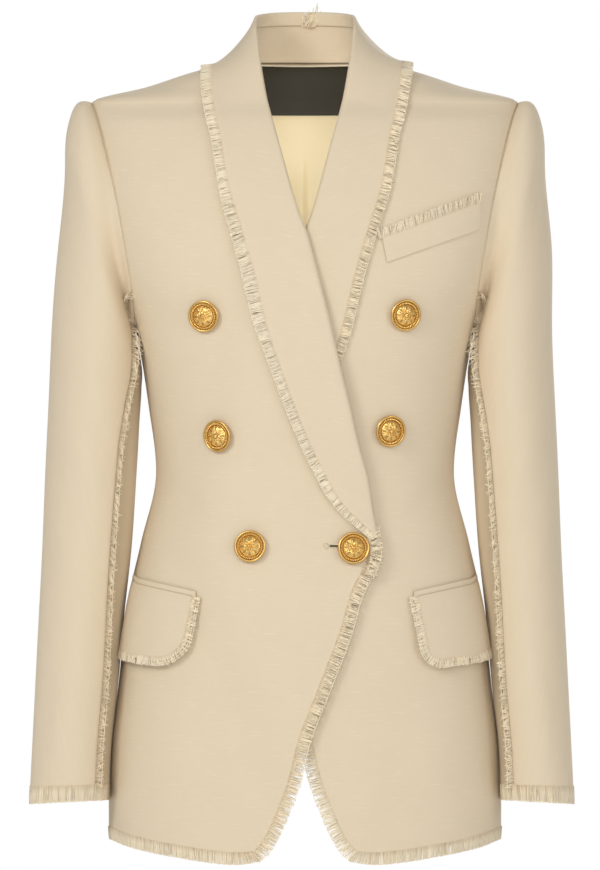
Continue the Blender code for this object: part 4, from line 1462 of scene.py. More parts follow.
@dataclass
class Pockets:
    """Sloping hip pockets with frayed flaps, and the breast welt on the left front."""

    cut: Cut
    wall: float = 1.6             # thickness of a flap
    thin: float = 1.0             # and of a jet
    trim: float = 1.2             # and of the breast welt
    fray: float = 5.0
    inset: float = 2.4            # how far in from a flap's edge its loose yarns start
    lift: float = 0.9             # how far a flap stands off the front at its top
    stand: float = 5.5            # and how much farther at its foot
    bulge: float = 0.8
    turn_x: float = 148.0         # past this distance a flap is measured round the body
    turn_rate: float = 0.49       # degrees round the body for each millimetre past it
    # corners of a hip flap's fray, as distances from the centre and z
    flap: tuple = ((92, -483), (165, -467), (103, -549), (177, -538))
    # radius of each flap's front corner
    flap_corner: dict = per_side(26.0, 14.0)
    welt_height: float = 5.0
    welt_foot: float = 0.3        # how far above the flap's top the jet starts
    welt_swell: float = 0.7
    # corners of the breast welt, as place across and z
    breast: tuple = ((66, -158), (157, -124), (71, -182), (156.5, -151))
    breast_lift: float = 0.4
    breast_swell: float = 0.25
    breast_line: float = 0.6      # how far off a sewn line the welt's own shade is read
    breast_fray: float = 6.2
    breast_inset: float = 1.6     # how far below the welt's top its yarns start

    def on_front(self, x: Array, z: Array, out: Array, side: Side) -> Array:
        """Points over a front, measured round the body where it turns away to the side."""
        cut, near = self.cut, np.minimum(x, self.turn_x)
        angle = cut.form.angle_at(near, z) + (x - near) * self.turn_rate
        place = side.value * near
        return cut.form.lifted(side.value * angle, z, cut.front_height(place, z, side, out))

    @staticmethod
    def patch(corners: tuple, across: Array, down: Array) -> Array:
        """Place across and z at shares of a four-cornered patch."""
        a, b, c, d = (np.array(corner, float) for corner in corners)
        across, down = across[..., None], down[..., None]
        top = a + (b - a) * across
        low = c + (d - c) * across
        return top + (low - top) * down

    def flap_point(self, across: Array, down: Array, side: Side) -> Array:
        """Points of a hip flap at shares of its size, fray included."""
        place = self.patch(self.flap, across, down)
        bulge = self.bulge * np.sin(np.pi * np.clip(across, 0, 1)) * down
        out = self.lift + self.stand * np.clip(down, 0, None) ** 0.7 + bulge
        return self.on_front(place[..., 0], place[..., 1], out, side)

    def build(self, room: Workroom) -> dict:
        """Make the hip pockets and the breast welt.

        Args:
            room: where pieces are finished.

        Returns:
            Cloth edges that fray, by name: piece, edge points, tips and normals.
        """
        frays = {}
        for side in Side:
            frays[f"flap_fringe_{side.word}"] = self.build_flap(room, side)
            self.build_jet(room, side)
        frays["breast_fringe"] = self.build_breast(room)
        return frays

    def build_flap(self, room: Workroom, side: Side) -> tuple:
        """Make one hip flap with its rounded front corner."""
        front, rear, foot = self.flap[:3]
        size = np.array([np.hypot(rear[0] - front[0], rear[1] - front[1]), front[1] - foot[1]])
        fray = self.fray / size
        near, low = fray[0], 1 - fray[1]
        bend, drop = self.flap_corner[side] / size
        quarter = np.linspace(0, np.pi / 2, 12)
        rows = np.linspace(0, low - drop, 22)[:-1]
        down = np.append(rows, low - drop * (1 - np.sin(quarter)))[:, None]
        past = np.clip((down - (low - drop)) / drop, 0, 1)
        edge = near + bend * (1 - np.sqrt(np.maximum(0, 1 - past ** 2)))
        across = edge + (1 - edge) * seam_columns(30, 0.03)
        points = self.flap_point(across, np.broadcast_to(down, across.shape), side)
        flip = side.is_right
        name = f"hip_flap_{side.word}"
        piece = room.cloth(name, points, self.wall, flip, True, line=travelled(points))

        # the rim runs down the front edge, round the corner and back along the foot
        turn = np.linspace(0, np.pi / 2, 14)
        upright, flat = 20, 23
        rim = np.array([
            np.concatenate([np.full(upright, near), near + bend * (1 - np.cos(turn)),
                            np.linspace(near + bend, 1, flat + 1)[1:]]),
            np.concatenate([np.linspace(0, low - drop, upright + 1)[:-1],
                            low - drop * (1 - np.sin(turn)), np.full(flat, low)]),
        ])
        out = np.array([
            np.concatenate([np.full(upright, -1.0), -np.cos(turn), np.zeros(flat)]),
            np.concatenate([np.zeros(upright), np.sin(turn), np.full(flat, 1.0)]),
        ])
        base = self.flap_point(*rim, side)
        tips = self.flap_point(*(rim + out * self.fray / size[:, None]), side)
        over = self.flap_point(*(rim - out * self.inset / size[:, None]), side)
        inward = self.flap_point(*(rim - out * 0.05), side)
        normals = unit(np.cross(np.gradient(base, axis=0), inward - base))
        normals = normals * np.sign(-normals[:, 1:2])
        return piece, over + normals * (self.wall + 0.12), tips + normals * 1.1, normals

    def build_jet(self, room: Workroom, side: Side) -> None:
        """Make the narrow jet above a flap."""
        front, rear = np.array(self.flap[:2], float)
        middle = front + (rear - front) * np.linspace(0.07, 1, 40)[None, :, None]
        foot = self.welt_foot
        up = np.array([self.welt_height + foot, 3.9, 3.2, 2.4, 1.6, 0.9, foot])[:, None]
        swell = self.welt_swell * np.sin(np.pi * (up - foot) / self.welt_height)
        x = np.broadcast_to(middle[..., 0], (len(up), middle.shape[1]))
        points = self.on_front(x, middle[..., 1] + up, self.lift + swell, side)
        line = np.minimum(up - foot, self.welt_height + foot - up) + 0 * x
        room.cloth(f"hip_welt_{side.word}", points, self.thin, side.is_right, True, line=line)

    def build_breast(self, room: Workroom) -> tuple:
        """Make the breast welt and give its top edge."""
        down = np.concatenate([[0, 0.02], np.linspace(0.06, 0.94, 12), [0.98, 1]])[:, None]
        across = np.concatenate([[0.03, 0.036], np.linspace(0.05, 0.98, 50), [0.994, 1]])[None, :]
        down, across = np.broadcast_arrays(down, across)
        place = self.patch(self.breast, across, down)
        out = self.breast_lift + self.breast_swell * np.sin(np.pi * down)
        points = self.cut.face(place[..., 0], place[..., 1], out, Side.LEFT)
        gone, low = travelled(points, axis=1), travelled(points)
        line = np.minimum(np.minimum(gone, gone[:, -1:] - gone), low[-1:] - low)
        line = line + self.breast_line
        piece = room.cloth("breast_welt", points, self.trim, False, True, line=line)
        height = self.breast[0][1] - self.breast[2][1]
        yarns = 60
        share = np.linspace(0, 1, yarns)
        edges = []
        for rise, out in ((self.breast_inset, 1.8), (-self.breast_fray, 2.2)):
            place = self.patch(self.breast, share, np.full(yarns, rise / height))
            edges.append(self.cut.face(place[:, 0], place[:, 1], out, Side.LEFT))
        normals = grid_normals(points, False)[0]
        pick = np.linspace(0, len(normals) - 1, yarns).astype(int)
        return piece, edges[0], edges[1], normals[pick]


# ---- frayed edges
@dataclass(frozen=True)
class Fray:
    """How one edge has frayed. Sizes are in metres, for the node tree."""

    spacing: float = 0.00046
    radius: float = 0.00039
    slant: float = 0.04
    spread: float = 0.14
    curl: float = 0.0007
    shortest: float = 0.86
    longest: float = 1.05
    lift: float = 0.0003
    depth: float = 0.55           # how dark the painted shade in the gaps is
    bright: float = 1.0           # how light the lightest yarns are
    rims: tuple = (0.92,)
    rim_wander: float = 0.0005
    seed: int = 1


class FrayTree:
    """Geometry Nodes that set loose yarns along an edge and leave a few across them."""

    SIZES = ("spacing", "radius", "slant", "spread", "curl", "shortest", "longest", "lift",
             "rim_wander", "depth", "bright")
    BUNCH = 4.6                   # yarns from one gap to the next, on average
    RIMS = 4                      # most yarns that can be left along an edge
    ALONE = 0.6                   # share of the spread that each yarn leans by itself
    ROOT = 0.16                   # how far a yarn starts behind the edge, of its length
    STEPS = 6                     # points along a yarn
    SUNK = 1.5                    # how deep a low yarn lies, of its radius
    TAPER = 0.35                  # how much thinner a yarn is at its tip

    def __init__(self) -> None:
        """Build the tree once."""
        self.tree = bpy.data.node_groups.new("frayed edge", "GeometryNodeTree")
        face = self.tree.interface
        face.new_socket("Geometry", in_out="OUTPUT", socket_type="NodeSocketGeometry")
        kinds = {"Geometry": "Geometry", **dict.fromkeys(self.SIZES, "Float")}
        kinds.update({f"rim {number}": "Float" for number in range(self.RIMS)})
        kinds.update({"seed": "Int", "finish": "Material"})
        for name, kind in kinds.items():
            face.new_socket(name, in_out="INPUT", socket_type=f"NodeSocket{kind}")
        self.w = Wiring(self.tree)
        self.given = self.w.add("NodeGroupInput").outputs
        self.assemble()

    def named(self, name: str, kind: str = "FLOAT_VECTOR") -> Socket:
        """A named attribute of the edge."""
        return self.w.out("GeometryNodeInputNamedAttribute", {0: name}, data_type=kind)

    def chance(self, low: Feed, high: Feed, seed: int, number: Feed) -> Socket:
        """A random value between two, the same for each run.

        Args:
            low: least value.
            high: greatest value.
            seed: added to the edge's own seed.
            number: what picks the value, such as the yarn's number.
        """
        own = self.w.plus(self.given["seed"], float(seed))
        feeds = {2: low, 3: high, 7: number, 8: own}
        return self.w.add("FunctionNodeRandomValue", feeds, data_type="FLOAT").outputs[1]

    def wander(self, scale: float, amount: Feed, shift: float) -> Socket:
        """A soft wandering offset."""
        place = self.w.out("GeometryNodeInputPosition")
        moved = self.w.moved(place, (shift, shift * 0.7, shift * 0.3))
        noise = self.w.add("ShaderNodeTexNoise", {"Vector": moved, "Scale": scale, "Detail": 1.0})
        centred = self.w.vector("SUBTRACT", {0: noise.outputs["Color"], 1: (0.5, 0.5, 0.5)})
        return self.w.scaled(centred, amount)

    def tube(self, curve: Socket, radius: Feed, sides: int) -> Socket:
        """A thin closed tube along curves."""
        ring = self.w.out("GeometryNodeCurvePrimitiveCircle", {0: sides, 4: radius})
        feeds = {"Curve": curve, "Profile Curve": ring, "Fill Caps": True}
        return self.w.out("GeometryNodeCurveToMesh", feeds)

    def marked(self, geometry: Socket, name: str, value: Feed) -> Socket:
        """Geometry with a named value stored on its points."""
        feeds = {"Geometry": geometry, "Name": name, "Value": value}
        return self.w.out("GeometryNodeStoreNamedAttribute", feeds)

    def loose_yarns(self, edge: Socket) -> Socket:
        """Yarns that stand out of the edge in bunches, with a low one in each gap whose dark tone
        is painted shade.
        """
        w, given = self.w, self.given
        number = w.out("GeometryNodeInputIndex")
        tuft = w.math("FLOOR", w.math("DIVIDE", number, self.BUNCH))
        gap = w.math("LESS_THAN", self.chance(0.0, 1.0, 15, number), 1.0 / self.BUNCH)
        tangent = w.out("GeometryNodeInputTangent")
        together = w.times(self.chance(-1.0, 1.0, 2, tuft), given["spread"])
        alone = w.times(self.chance(-self.ALONE, self.ALONE, 3, number), given["spread"])
        lean = w.plus(w.plus(together, alone), given["slant"])
        leaning = w.moved(self.named("outward"), w.scaled(tangent, lean))
        axes = {"Primary Axis": leaning, "Secondary Axis": self.named("away")}
        turn = w.out("FunctionNodeAxesToRotation", axes, primary_axis="Z", secondary_axis="X")
        long = self.chance(given["shortest"], given["longest"], 4, number)
        size = w.times(self.named("reach", "FLOAT"), long)
        line = w.out("GeometryNodeCurvePrimitiveLine", {0: (0, 0, -self.ROOT), 1: (0, 0, 1)})
        line = w.out("GeometryNodeResampleCurve", {"Curve": line, "Count": self.STEPS})
        bright = self.chance(0.0, given["bright"], 5, number)
        # painted shade: a gap yarn's tone is below zero, and the finish darkens it
        dark = w.times(self.chance(-1.0, -0.2, 13, number), given["depth"])
        shade = w.out("ShaderNodeMix", {0: gap, 2: bright, 3: dark})
        ready = self.marked(self.marked(edge, "yarn", shade), "gap", gap)
        feeds = {"Points": ready, "Instance": line, "Rotation": turn, "Scale": size}
        yarns = w.out("GeometryNodeInstanceOnPoints", feeds)
        yarns = w.out("GeometryNodeRealizeInstances", {0: yarns})
        along = w.add("GeometryNodeSplineParameter").outputs["Factor"]
        yarns = self.marked(yarns, "along", along)
        bend = w.math("POWER", along, 1.4)
        offset = self.wander(260.0, w.times(bend, given["curl"]), 3.1)
        fine = w.times(along, w.times(given["curl"], 0.8))
        offset = w.moved(offset, self.wander(900.0, fine, 7.7))
        rise = w.times(given["lift"], w.math("SINE", w.times(along, 2.4)))
        low = w.times(self.named("gap", "FLOAT"), w.times(given["radius"], self.SUNK))
        rise = w.math("SUBTRACT", rise, w.times(low, w.between(along, 1.0, 0.7)))
        offset = w.moved(offset, w.scaled(self.named("away"), rise))
        yarns = w.out("GeometryNodeSetPosition", {"Geometry": yarns, "Offset": offset})
        thin = w.math("SUBTRACT", 1.0, w.times(along, self.TAPER))
        yarns = w.out("GeometryNodeSetCurveRadius", {"Curve": yarns, "Radius": thin})
        return self.tube(yarns, given["radius"], 3)

    def rim_yarns(self, edge: Socket, number: int) -> Socket:
        """A yarn left along the edge, across the loose ones."""
        w, given = self.w, self.given
        place = given[f"rim {number}"]
        size = w.times(self.named("reach", "FLOAT"), place)
        offset = w.scaled(self.named("outward"), size)
        rise = w.times(given["lift"], 0.9 if number % 2 else 0.3)
        offset = w.moved(offset, w.scaled(self.named("away"), rise))
        for scale, share in ((230.0, 1.0), (640.0, 0.9)):
            amount = w.times(given["rim_wander"], share)
            offset = w.moved(offset, self.wander(scale, amount, 1.9 * (number + 1)))
        yarn = w.out("GeometryNodeSetPosition", {"Geometry": edge, "Offset": offset})
        yarn = self.marked(yarn, "along", 1.0)
        yarn = self.marked(yarn, "yarn", self.chance(0.5, 1.0, 6 + number, 1))
        used = w.out("FunctionNodeCompare", {0: place, 1: 0.0}, operation="LESS_EQUAL")
        feeds = {"Geometry": yarn, "Selection": used}
        yarn = w.out("GeometryNodeDeleteGeometry", feeds)
        return self.tube(yarn, w.times(given["radius"], 0.9), 3)

    def assemble(self) -> None:
        """Join the yarns and end the tree."""
        w, given = self.w, self.given
        curve = w.out("GeometryNodeMeshToCurve", {0: given["Geometry"]})
        feeds = {"Curve": curve, "Length": given["spacing"]}
        edge = w.out("GeometryNodeResampleCurve", feeds, mode="LENGTH")
        joined = w.add("GeometryNodeJoinGeometry")
        loose = self.loose_yarns(edge)
        parts = [self.rim_yarns(edge, number) for number in range(self.RIMS)]
        for part in (loose, *parts):
            w.tree.links.new(part, joined.inputs[0])
        whole = w.out("GeometryNodeRealizeInstances", {0: joined.outputs[0]})
        feeds = {"Geometry": whole, "Material": given["finish"]}
        done = w.out("GeometryNodeSetMaterial", feeds)
        w.add("NodeGroupOutput", {0: done})

    def grow(self, name: str, edge: Array, tips: Array, away: Array, fray: Fray,
             finish: Material) -> Piece:
        """Set yarns along an edge.

        Args:
            name: the new piece's name.
            edge: points along the cloth's edge, in millimetres.
            tips: where each point's yarn would end.
            away: unit vectors out of the cloth.
            fray: how the edge has frayed.
            finish: the yarns' material.

        Returns:
            A plain mesh object of all the yarns.
        """
        piece = new_piece(name, edge, [], edges=[(i, i + 1) for i in range(len(edge) - 1)])
        mesh = piece.data
        mark(piece, "outward", unit(tips - edge))
        mark(piece, "away", away)
        mark(piece, "reach", np.linalg.norm(tips - edge, axis=-1) * MM)
        grown = piece.modifiers.new("fray", "NODES")
        grown.node_group = self.tree
        values = {size: getattr(fray, size) for size in self.SIZES}
        rims = (*fray.rims, *[0.0] * self.RIMS)[:self.RIMS]
        values.update({f"rim {number}": place for number, place in enumerate(rims)})
        values.update({"seed": fray.seed, "finish": finish})
        for socket in self.tree.interface.items_tree:
            if socket.item_type == "SOCKET" and socket.name in values:
                grown[socket.identifier] = values[socket.name]
        layers = bpy.context.evaluated_depsgraph_get()
        layers.update()
        plain = bpy.data.meshes.new_from_object(piece.evaluated_get(layers))
        piece.modifiers.remove(grown)
        piece.data = plain
        bpy.data.meshes.remove(mesh)
        plain.name = name
        plain.shade_smooth()
        return piece


@dataclass
class FrayedEdges:
    """Every frayed trim, grown from the cloth edge that it belongs to."""

    cut: Cut
    tree: FrayTree
    backs: Backs
    lapel: Fray = Fray(shortest=0.76, seed=11)
    front: Fray = Fray(spread=0.14, shortest=0.7, curl=0.0011, depth=0.45, seed=23)
    hem: Fray = Fray(slant=0.0, spread=0.05, curl=0.0003, shortest=0.96, depth=0.1,
                     bright=0.6, rims=(0.97,), seed=31)
    cuff: Fray = Fray(slant=0.0, spread=0.05, curl=0.0003, shortest=0.96, depth=0.1,
                      bright=0.6, rims=(0.97,), seed=41)
    flap: Fray = Fray(spread=0.35, curl=0.0014, shortest=0.75, depth=0.6, rims=(0.6, 0.85), seed=53)
    breast: Fray = Fray(spread=0.3, rims=(0.45,), seed=61)
    seam: Fray = Fray(spacing=0.0008, spread=1.0, curl=0.0038, lift=0.0035, shortest=0.4,
                      longest=1.1, depth=0.5, rims=(0.3, 0.55, 0.8), rim_wander=0.0022, seed=71)
    bunch: Fray = Fray(spread=0.7, curl=0.0026, lift=0.0014, shortest=0.6, rims=(0.4, 0.75),
                       rim_wander=0.0012, seed=91)
    # how far the lapel's yarns stand off, and how much longer they are about a level
    lapel_lift: dict = per_side(2.2, 0.9)
    lapel_longer: dict = per_side(0.3, 0.0)
    lapel_long_z: float = -185.0
    lapel_long_width: float = 62.0
    lapel_trim: float = 0.1       # how much shorter the lapel's yarns are than the collar's
    inset: float = 1.8            # how far in from an edge its loose yarns start
    # place across and z of the roots and the tips where the lapel's fray meets the front's
    bunch_path: tuple = (
        (50, -424, 60, -421), (54.5, -429, 65.5, -428), (57, -436, 68, -436),
        (57.5, -444, 68, -445), (55.5, -454, 65.5, -457), (52, -462, 61.5, -467),
    )
    hem_start_x: float = 46.5
    tuft: Fray = Fray(spacing=0.0004, spread=0.5, curl=0.004, shortest=0.55, longest=1.15,
                      rims=(0.3, 0.5), seed=83)
    seam_top_z: float = -200.0
    seam_reach: float = 6.0
    seam_deep_z: float = -250.0   # the sleeve seam's fray is longest here
    seam_deeper: float = 3.5      # and this much longer
    cuff_reach: float = 11.0
    fan_reach: float = 6.5        # how far the hem's first yarns lean towards the centre
    fan_width: float = 7.0

    def add(self, room: Workroom, name: str, cloth: Piece, edge: Array,
            tips: Array, away: Array, fray: Fray) -> None:
        """Grow one trim and hand it over with its cloth."""
        piece = self.tree.grow(name, edge, tips, away, fray, room.yarn)
        room.hand_over(piece, name)
        room.goes_with(cloth, piece)

    def collars(self, room: Workroom, collars: dict) -> None:
        """Fray the collar's and the lapels' edges."""
        for side, (piece, edge, tips, away) in collars.items():
            name = f"lapel_fringe_{side.word}"
            reach = tips + away * self.lapel_lift[side] - edge
            tangent = unit(np.gradient(edge, axis=0))
            slid = (reach * tangent).sum(axis=-1, keepdims=True) * tangent
            on_lapel = smooth_step(0, 40, -30 - edge[:, 2:])
            near = np.exp(-((edge[:, 2:] - self.lapel_long_z) / self.lapel_long_width) ** 4)
            longer = 1 + self.lapel_longer[side] * near
            tips = edge + (reach - slid * on_lapel) * longer * (1 - self.lapel_trim * on_lapel)
            self.add(room, name, piece, edge, tips, away, self.lapel)
        piece = collars[Side.RIGHT][0]
        last = len(self.bunch_path) - 1
        known = np.array(self.bunch_path, float)
        x, z, tip_x, tip_z = spline(np.arange(last + 1.0), known, np.linspace(0, last, 60)).T
        root = self.cut.face(x, z, 2.4, Side.RIGHT)
        tips = self.cut.face(tip_x, tip_z, 1.6, Side.RIGHT)
        away = outward(lambda out: self.cut.face(x, z, out, Side.RIGHT))
        bunch = self.tree.grow("lapel_fringe_bunch", root, tips, away, self.bunch, room.yarn)
        room.hand_over(bunch, None)
        room.goes_with(piece, bunch)

    def front_edges(self, room: Workroom, fronts: dict) -> None:
        """Fray the fronts' edges below the lapels."""
        cut = self.cut
        for side, piece in fronts.items():
            z = np.linspace(cut.break_z - 3, cut.hem_front_z + 0.5, 130)
            across = unit(np.stack([np.ones_like(z), -cut.front_slope(z)], -1))
            line = np.stack([cut.inner_edge(z), z], -1)
            root, tip = line - across * self.inset, line + across * cut.edge_fray
            root_x, tip_x = -side.value * root[:, 0], -side.value * tip[:, 0]
            edge = cut.face(root_x, root[:, 1], 0.15, side)
            tips = cut.face(tip_x, tip[:, 1], -0.6, side)
            away = outward(lambda out: cut.face(root_x, root[:, 1], out, side))
            name = f"front_edge_fringe_{side.word}"
            self.add(room, name, piece, edge, tips, away, self.front)

    def hems(self, room: Workroom, fronts: dict, backs: dict) -> None:
        """Fray the hem of the fronts and the backs."""
        cut = self.cut
        for side, piece in fronts.items():
            start = cut.form.angle_at(side.value * self.hem_start_x, cut.hem_front_z)
            end = side.value * (90 - cut.seam_turn)
            angle = np.linspace(float(start), end, 220)
            x = cut.form.skin(angle, cut.hem_front_z)[:, 0]
            z = cut.hem_z(x)
            rise = cut.rise(x, z, side)
            edge = cut.form.lifted(angle, z + self.inset, rise + 0.2)
            tips = cut.form.lifted(angle, z - cut.hem_fray, rise - 0.8)
            fan = np.exp(-(np.abs(x) - self.hem_start_x) / self.fan_width)
            tips += fan[:, None] * np.array([-side.value * self.fan_reach, 0, 2.2])
            away = outward(lambda out: cut.form.lifted(angle, z, rise + out))
            self.add(room, f"hem_fringe_front_{side.word}", piece, edge, tips, away, self.hem)
        for side, piece in backs.items():
            z = cut.hem_side_z
            end = float(self.backs.centre_angle(z))
            angle = side.value * np.linspace(90 + cut.seam_turn, end, 110)
            edge = cut.form.lifted(angle, z + self.inset, 0.15)
            tips = cut.form.lifted(angle, z - cut.hem_fray, -0.8)
            away = outward(lambda out: cut.form.lifted(angle, z, out))
            self.add(room, f"hem_fringe_back_{side.word}", piece, edge, tips, away, self.hem)

    def sleeves(self, room: Workroom, sleeves: Sleeves, made: dict) -> None:
        """Fray the cuffs and the front seams of the sleeves."""
        for side, ((top, _), (under, lower)) in made.items():
            turn = np.linspace(0, 360, 190)
            edge = sleeves.ring_point(side, sleeves.rings[-1], turn)
            tips = sleeves.ring_point(side, sleeves.cuff_tip, turn)
            away = unit((edge - edge[:-1].mean(axis=0)) * (1, 1, 0))
            down = unit(tips - edge)
            reach = self.cuff_reach + 0.8 * np.cos(np.radians(turn))
            tips = edge + down * reach[:, None] - away * 0.6
            edge = edge - down * self.inset + away * 0.15
            self.add(room, f"cuff_fringe_{side.word}", top, edge, tips, away, self.cuff)
            normals = grid_normals(lower, side is Side.LEFT)
            start, ahead = lower[:, 1], lower[:, 5]
            below = start[:, 2] < self.seam_top_z
            edge = start + normals[:, 1] * 0.5
            deep = self.seam_deeper * np.exp(-((start[:, 2:] - self.seam_deep_z) / 32) ** 2)
            tips = edge + unit(ahead - start) * (self.seam_reach + deep)
            tips += normals[:, 1] * (1.4 + deep)
            name = f"sleeve_seam_fringe_{side.word}"
            self.add(room, name, under, edge[below], tips[below], normals[below, 1], self.seam)

    def pockets(self, room: Workroom, frays: dict) -> None:
        """Fray the flaps and the top of the breast welt."""
        for name, (piece, edge, tips, away) in frays.items():
            style = self.breast if name == "breast_fringe" else self.flap
            self.add(room, name, piece, edge, tips, away, style)

    def neck_tuft(self, room: Workroom, collar: Piece) -> None:
        """Small fray that stands up at the centre back of the collar, on its inner side."""
        x = np.linspace(-3.0, 9.5, 12)
        level = np.ones(len(x))
        edge = np.stack([x, 56.5 * level, 34.0 * level], -1)
        reach = 12 + 7 * np.exp(-((x - 5) / 2.5) ** 2)
        tips = edge + np.stack([0.6 * level, 0.2 * level, reach], -1)
        away = np.outer(level, (0.0, -1.0, 0.0))
        self.add(room, "collar_tuft", collar, edge, tips, away, self.tuft)


# ---- buttons
@dataclass
class Buttons:
    """Domed gilt buttons with a rope rim and a plain rosette in relief."""

    cut: Cut
    # name, place across and z of each button's centre
    places: tuple = (
        ("button_top_right", -89.7, -229), ("button_top_left", 89, -228),
        ("button_middle_right", -75, -336), ("button_middle_left", 75.4, -332),
        ("button_low_right", -47.5, -436.5), ("button_fastened", 42, -438),
    )
    dome_radius: float = 9.4
    dome_foot: float = 4.6
    dome_top: float = 7.0
    rope_middle: float = 10.95
    rope_half: float = 1.25
    rope_height: float = 1.3
    rim_middle: float = 13.25
    rim_half: float = 1.2
    rope_strands: int = 44
    petals: int = 8
    relief: float = 0.75
    seat: float = 0.5
    sides: int = 230
    dome_rows: int = 34
    rope_rows: int = 14
    twist_depth: float = 0.42

    def rosette(self, radius: Array, turn: Array) -> Array:
        """Height of the relief on the dome, from 0 to 1."""
        r = radius / self.dome_radius
        boss = smooth_step(0.20, 0.10, r) * (0.75 + 0.25 * np.cos(6 * turn))
        inner_lobes = (0.5 + 0.5 * np.cos(self.petals * turn)) ** 0.7
        inner_band = smooth_step(0.22, 0.30, r) * smooth_step(0.60, 0.50, r)
        outer_lobes = (0.5 - 0.5 * np.cos(self.petals * turn)) ** 0.7
        outer_band = smooth_step(0.46, 0.58, r) * smooth_step(0.98, 0.86, r)
        veins = 0.75 + 0.25 * np.cos(4 * self.petals * turn)
        petals = inner_band * inner_lobes * veins + outer_band * outer_lobes * veins
        return np.clip(boss + petals, 0, 1)

    def profile(self) -> tuple[Array, Array]:
        """Radii and plain heights from the crown down to the shank's foot."""
        dome = np.linspace(0.35, self.dome_radius, self.dome_rows)
        bow = 1 - (dome / self.dome_radius) ** 2
        height = self.dome_foot + (self.dome_top - self.dome_foot) * bow
        turn = np.linspace(np.pi, 0, self.rope_rows)
        rope = self.rope_middle + self.rope_half * np.cos(turn)
        rope_z = self.dome_foot - 0.55 + self.rope_height * np.sin(turn)
        turn = np.linspace(0.92 * np.pi, -0.35 * np.pi, 16)
        rim = self.rim_middle + self.rim_half * np.cos(turn)
        rim_z = self.dome_foot - 0.7 + self.rim_half * np.sin(turn)
        under = np.array([13.4, 11.5, 8.0, 3.2, 2.6, 2.6, 0.4])
        under_z = np.array([2.7, 2.4, 2.3, 2.2, 1.9, 0.0, 0.0])
        radii = np.concatenate([dome, [9.55], rope, rim, under])
        heights = np.concatenate([height, [self.dome_foot - 0.75], rope_z, rim_z, under_z])
        return radii, heights

    def mesh_points(self) -> tuple[Array, Array]:
        """Points of one button about its own axis, and how far each is raised."""
        radii, heights = self.profile()
        turn = np.linspace(0, 2 * np.pi, self.sides, endpoint=False)
        r, angle = np.meshgrid(radii, turn, indexing="ij")
        z = np.broadcast_to(heights[:, None], r.shape).copy()
        row = np.arange(len(radii))[:, None]
        on_dome = row < self.dome_rows
        on_rope = (row > self.dome_rows) & (row <= self.dome_rows + self.rope_rows)
        pattern = self.rosette(r, angle)
        z += np.where(on_dome, self.relief * pattern, 0)
        twist = np.cos(self.rope_strands * angle + 1.5 * (r - self.rope_middle))
        bulge = np.where(on_rope, self.twist_depth * twist, 0)
        z += bulge * (z > 3.2)
        r = r + bulge * 0.35
        groove = np.exp(-((r - 9.6) / 0.3) ** 2) + 0.7 * np.exp(-((r - 12.1) / 0.25) ** 2)
        edge = smooth_step(0.86, 0.94, r / self.dome_radius)
        dome = np.maximum(0.22 + 0.78 * pattern, 0.75 * edge)
        raised = np.where(on_dome, dome, np.where(on_rope, 0.5 + 0.45 * twist, 0.4))
        raised = raised * (1 - 0.85 * np.minimum(1, groove))
        points = np.stack([r * np.cos(angle), r * np.sin(angle), z], -1)
        return points, raised

    def build(self, room: Workroom) -> None:
        """Make the six buttons.

        Args:
            room: where pieces are finished.
        """
        points, raised = self.mesh_points()
        rows, count = points.shape[:2]
        index = np.arange(rows * count).reshape(rows, count)
        ahead = np.roll(index, -1, axis=1)
        quads = np.stack([index[:-1], index[1:], ahead[1:], ahead[:-1]], -1).reshape(-1, 4)
        crown, foot = rows * count, rows * count + 1
        caps = [(crown, a, b) for a, b in zip(index[0], ahead[0])]
        caps += [(foot, b, a) for a, b in zip(index[-1], ahead[-1])]
        faces = quads.tolist() + [tuple(map(int, cap)) for cap in caps]
        tops = np.array([[0, 0, points[0, :, 2].mean()], [0, 0, points[-1, 0, 2]]])
        local = np.concatenate([points.reshape(-1, 3), tops])
        marks = np.concatenate([raised.ravel(), [1.0, 0.3]])
        for name, x, z in self.places:
            side = Side.RIGHT if x < 0 or name == "button_fastened" else Side.LEFT
            probes = [(x, z), (x + 1, z), (x, z + 1)]
            spot, east, north = (self.cut.face(a, b, 0.0, side) for a, b in probes)
            normal = unit(np.cross(east - spot, north - spot))
            up = unit(np.array([0, 0, 1.0]) - normal * normal[2])
            right = np.cross(up, normal)
            placed = spot + normal * self.seat + local @ np.stack([right, up, normal])
            piece = new_piece(name, placed, faces, room.gilt)
            mark(piece, "raised", marks)
            piece.data.shade_smooth()
            room.hand_over(piece, name)


